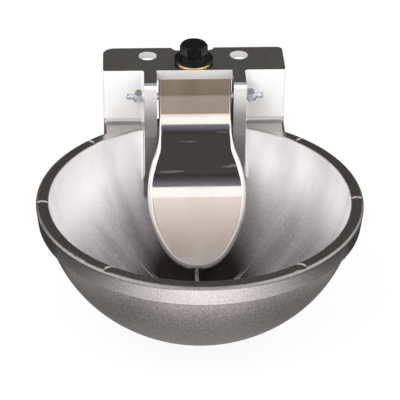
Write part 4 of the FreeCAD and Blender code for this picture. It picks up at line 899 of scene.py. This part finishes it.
class DRINKINGBOWL_OT_studio(bpy.types.Operator):
    """Floor, reflection cards, light and camera"""

    bl_idname = "drinking_bowl.studio"
    bl_label = "Studio"

    def execute(self, context):
        setup = context.scene.bowl_studio
        self.make_floor(setup)
        for card in CARDS:
            add_card(*card, setup.card_segments)
        self.make_world(context.scene, setup)
        self.make_lamps(setup)
        self.make_camera(context.scene, setup)
        return {"FINISHED"}

    def make_floor(self, setup):
        shape = bmesh.new()
        bmesh.ops.create_grid(shape, x_segments=2, y_segments=2, size=FLOOR_HALF_SIZE)
        bmesh.ops.translate(shape, verts=shape.verts, vec=(0, 0, FLOOR_HEIGHT))
        floor = new_object("floor", mesh_of(shape, "floor"))
        floor.data.materials.append(floor_material(setup))

    def make_world(self, scene, setup):
        world = bpy.data.worlds.new("studio")
        scene.world = world
        world.use_nodes = True
        tree = world.node_tree
        tree.nodes.clear()
        seen = background_share(tree, put(tree, "ShaderNodeLightPath"), 1.0)
        soft = put(tree, "ShaderNodeBackground", Color=(1, 1, 1, 1), Strength=setup.sky)
        white = put(tree, "ShaderNodeBackground", Color=(1, 1, 1, 1), Strength=1.0)
        both = mix_shaders(tree, seen, soft, white)
        join(tree, both.outputs[0], put(tree, "ShaderNodeOutputWorld").inputs["Surface"])

    def make_lamps(self, setup):
        for name, power, place, size in LAMPS:
            lamp = bpy.data.lights.new(name, "AREA")
            lamp.shape = "SQUARE"
            lamp.size = size
            lamp.energy = getattr(setup, power)
            item = new_object(name, lamp)
            item.location = place
            item.rotation_mode = "QUATERNION"
            item.rotation_quaternion = (Vector(place) - BOWL_CENTRE).to_track_quat("Z", "Y")
            item.visible_glossy = False

    def make_camera(self, scene, setup):
        data = bpy.data.cameras.new("camera")
        data.lens = setup.lens
        data.sensor_width = 36.0
        data.sensor_fit = "HORIZONTAL"
        data.clip_end = 50.0
        camera = new_object("camera", data)
        place = Vector(setup.place)
        ahead = (Vector(setup.aim) - place).normalized()
        right = ahead.cross(Vector((0, 0, 1))).normalized()
        up = right.cross(ahead)
        turned_right = right * math.cos(setup.roll) + up * math.sin(setup.roll)
        turned_up = up * math.cos(setup.roll) - right * math.sin(setup.roll)
        turn = Matrix((turned_right, turned_up, -ahead)).transposed()
        camera.matrix_world = Matrix.Translation(place) @ turn.to_4x4()
        scene.camera = camera


class DRINKINGBOWL_PT_panel(bpy.types.Panel):
    """Lists the steps that dress the drinking bowl"""

    bl_idname = "DRINKINGBOWL_PT_panel"
    bl_label = "Drinking bowl"
    bl_space_type = "VIEW_3D"
    bl_region_type = "UI"
    bl_category = "Drinking bowl"

    def draw(self, context):
        for step in STEPS:
            self.layout.operator(step.bl_idname)
        for name in SETTINGS:
            group = getattr(context.scene, name)
            for prop in group.bl_rna.properties.keys():
                if prop not in ("rna_type", "name"):
                    self.layout.prop(group, prop)


STEPS = (
    DRINKINGBOWL_OT_casting,
    DRINKINGBOWL_OT_tongue,
    DRINKINGBOWL_OT_axle,
    DRINKINGBOWL_OT_valve,
    DRINKINGBOWL_OT_plug,
    DRINKINGBOWL_OT_studio,
)
SETTINGS = {
    "bowl_cast_finish": CastFinish,
    "bowl_steel_finish": SteelFinish,
    "bowl_plastic_finish": PlasticFinish,
    "bowl_studio": StudioSetup,
}


def register():
    for group in SETTINGS.values():
        bpy.utils.register_class(group)
    for step in STEPS:
        bpy.utils.register_class(step)
    bpy.utils.register_class(DRINKINGBOWL_PT_panel)
    for name, group in SETTINGS.items():
        setattr(bpy.types.Scene, name, PointerProperty(type=group))


def unregister():
    for name in SETTINGS:
        delattr(bpy.types.Scene, name)
    bpy.utils.unregister_class(DRINKINGBOWL_PT_panel)
    for step in reversed(STEPS):
        bpy.utils.unregister_class(step)
    for group in SETTINGS.values():
        bpy.utils.unregister_class(group)


def main():
    register()
    bpy.context.scene.view_settings.view_transform = "Standard"
    bpy.ops.drinking_bowl.casting()
    bpy.ops.drinking_bowl.tongue()
    bpy.ops.drinking_bowl.axle()
    bpy.ops.drinking_bowl.valve()
    bpy.ops.drinking_bowl.plug()
    bpy.ops.drinking_bowl.studio()


if __name__ == "__main__":
    main()
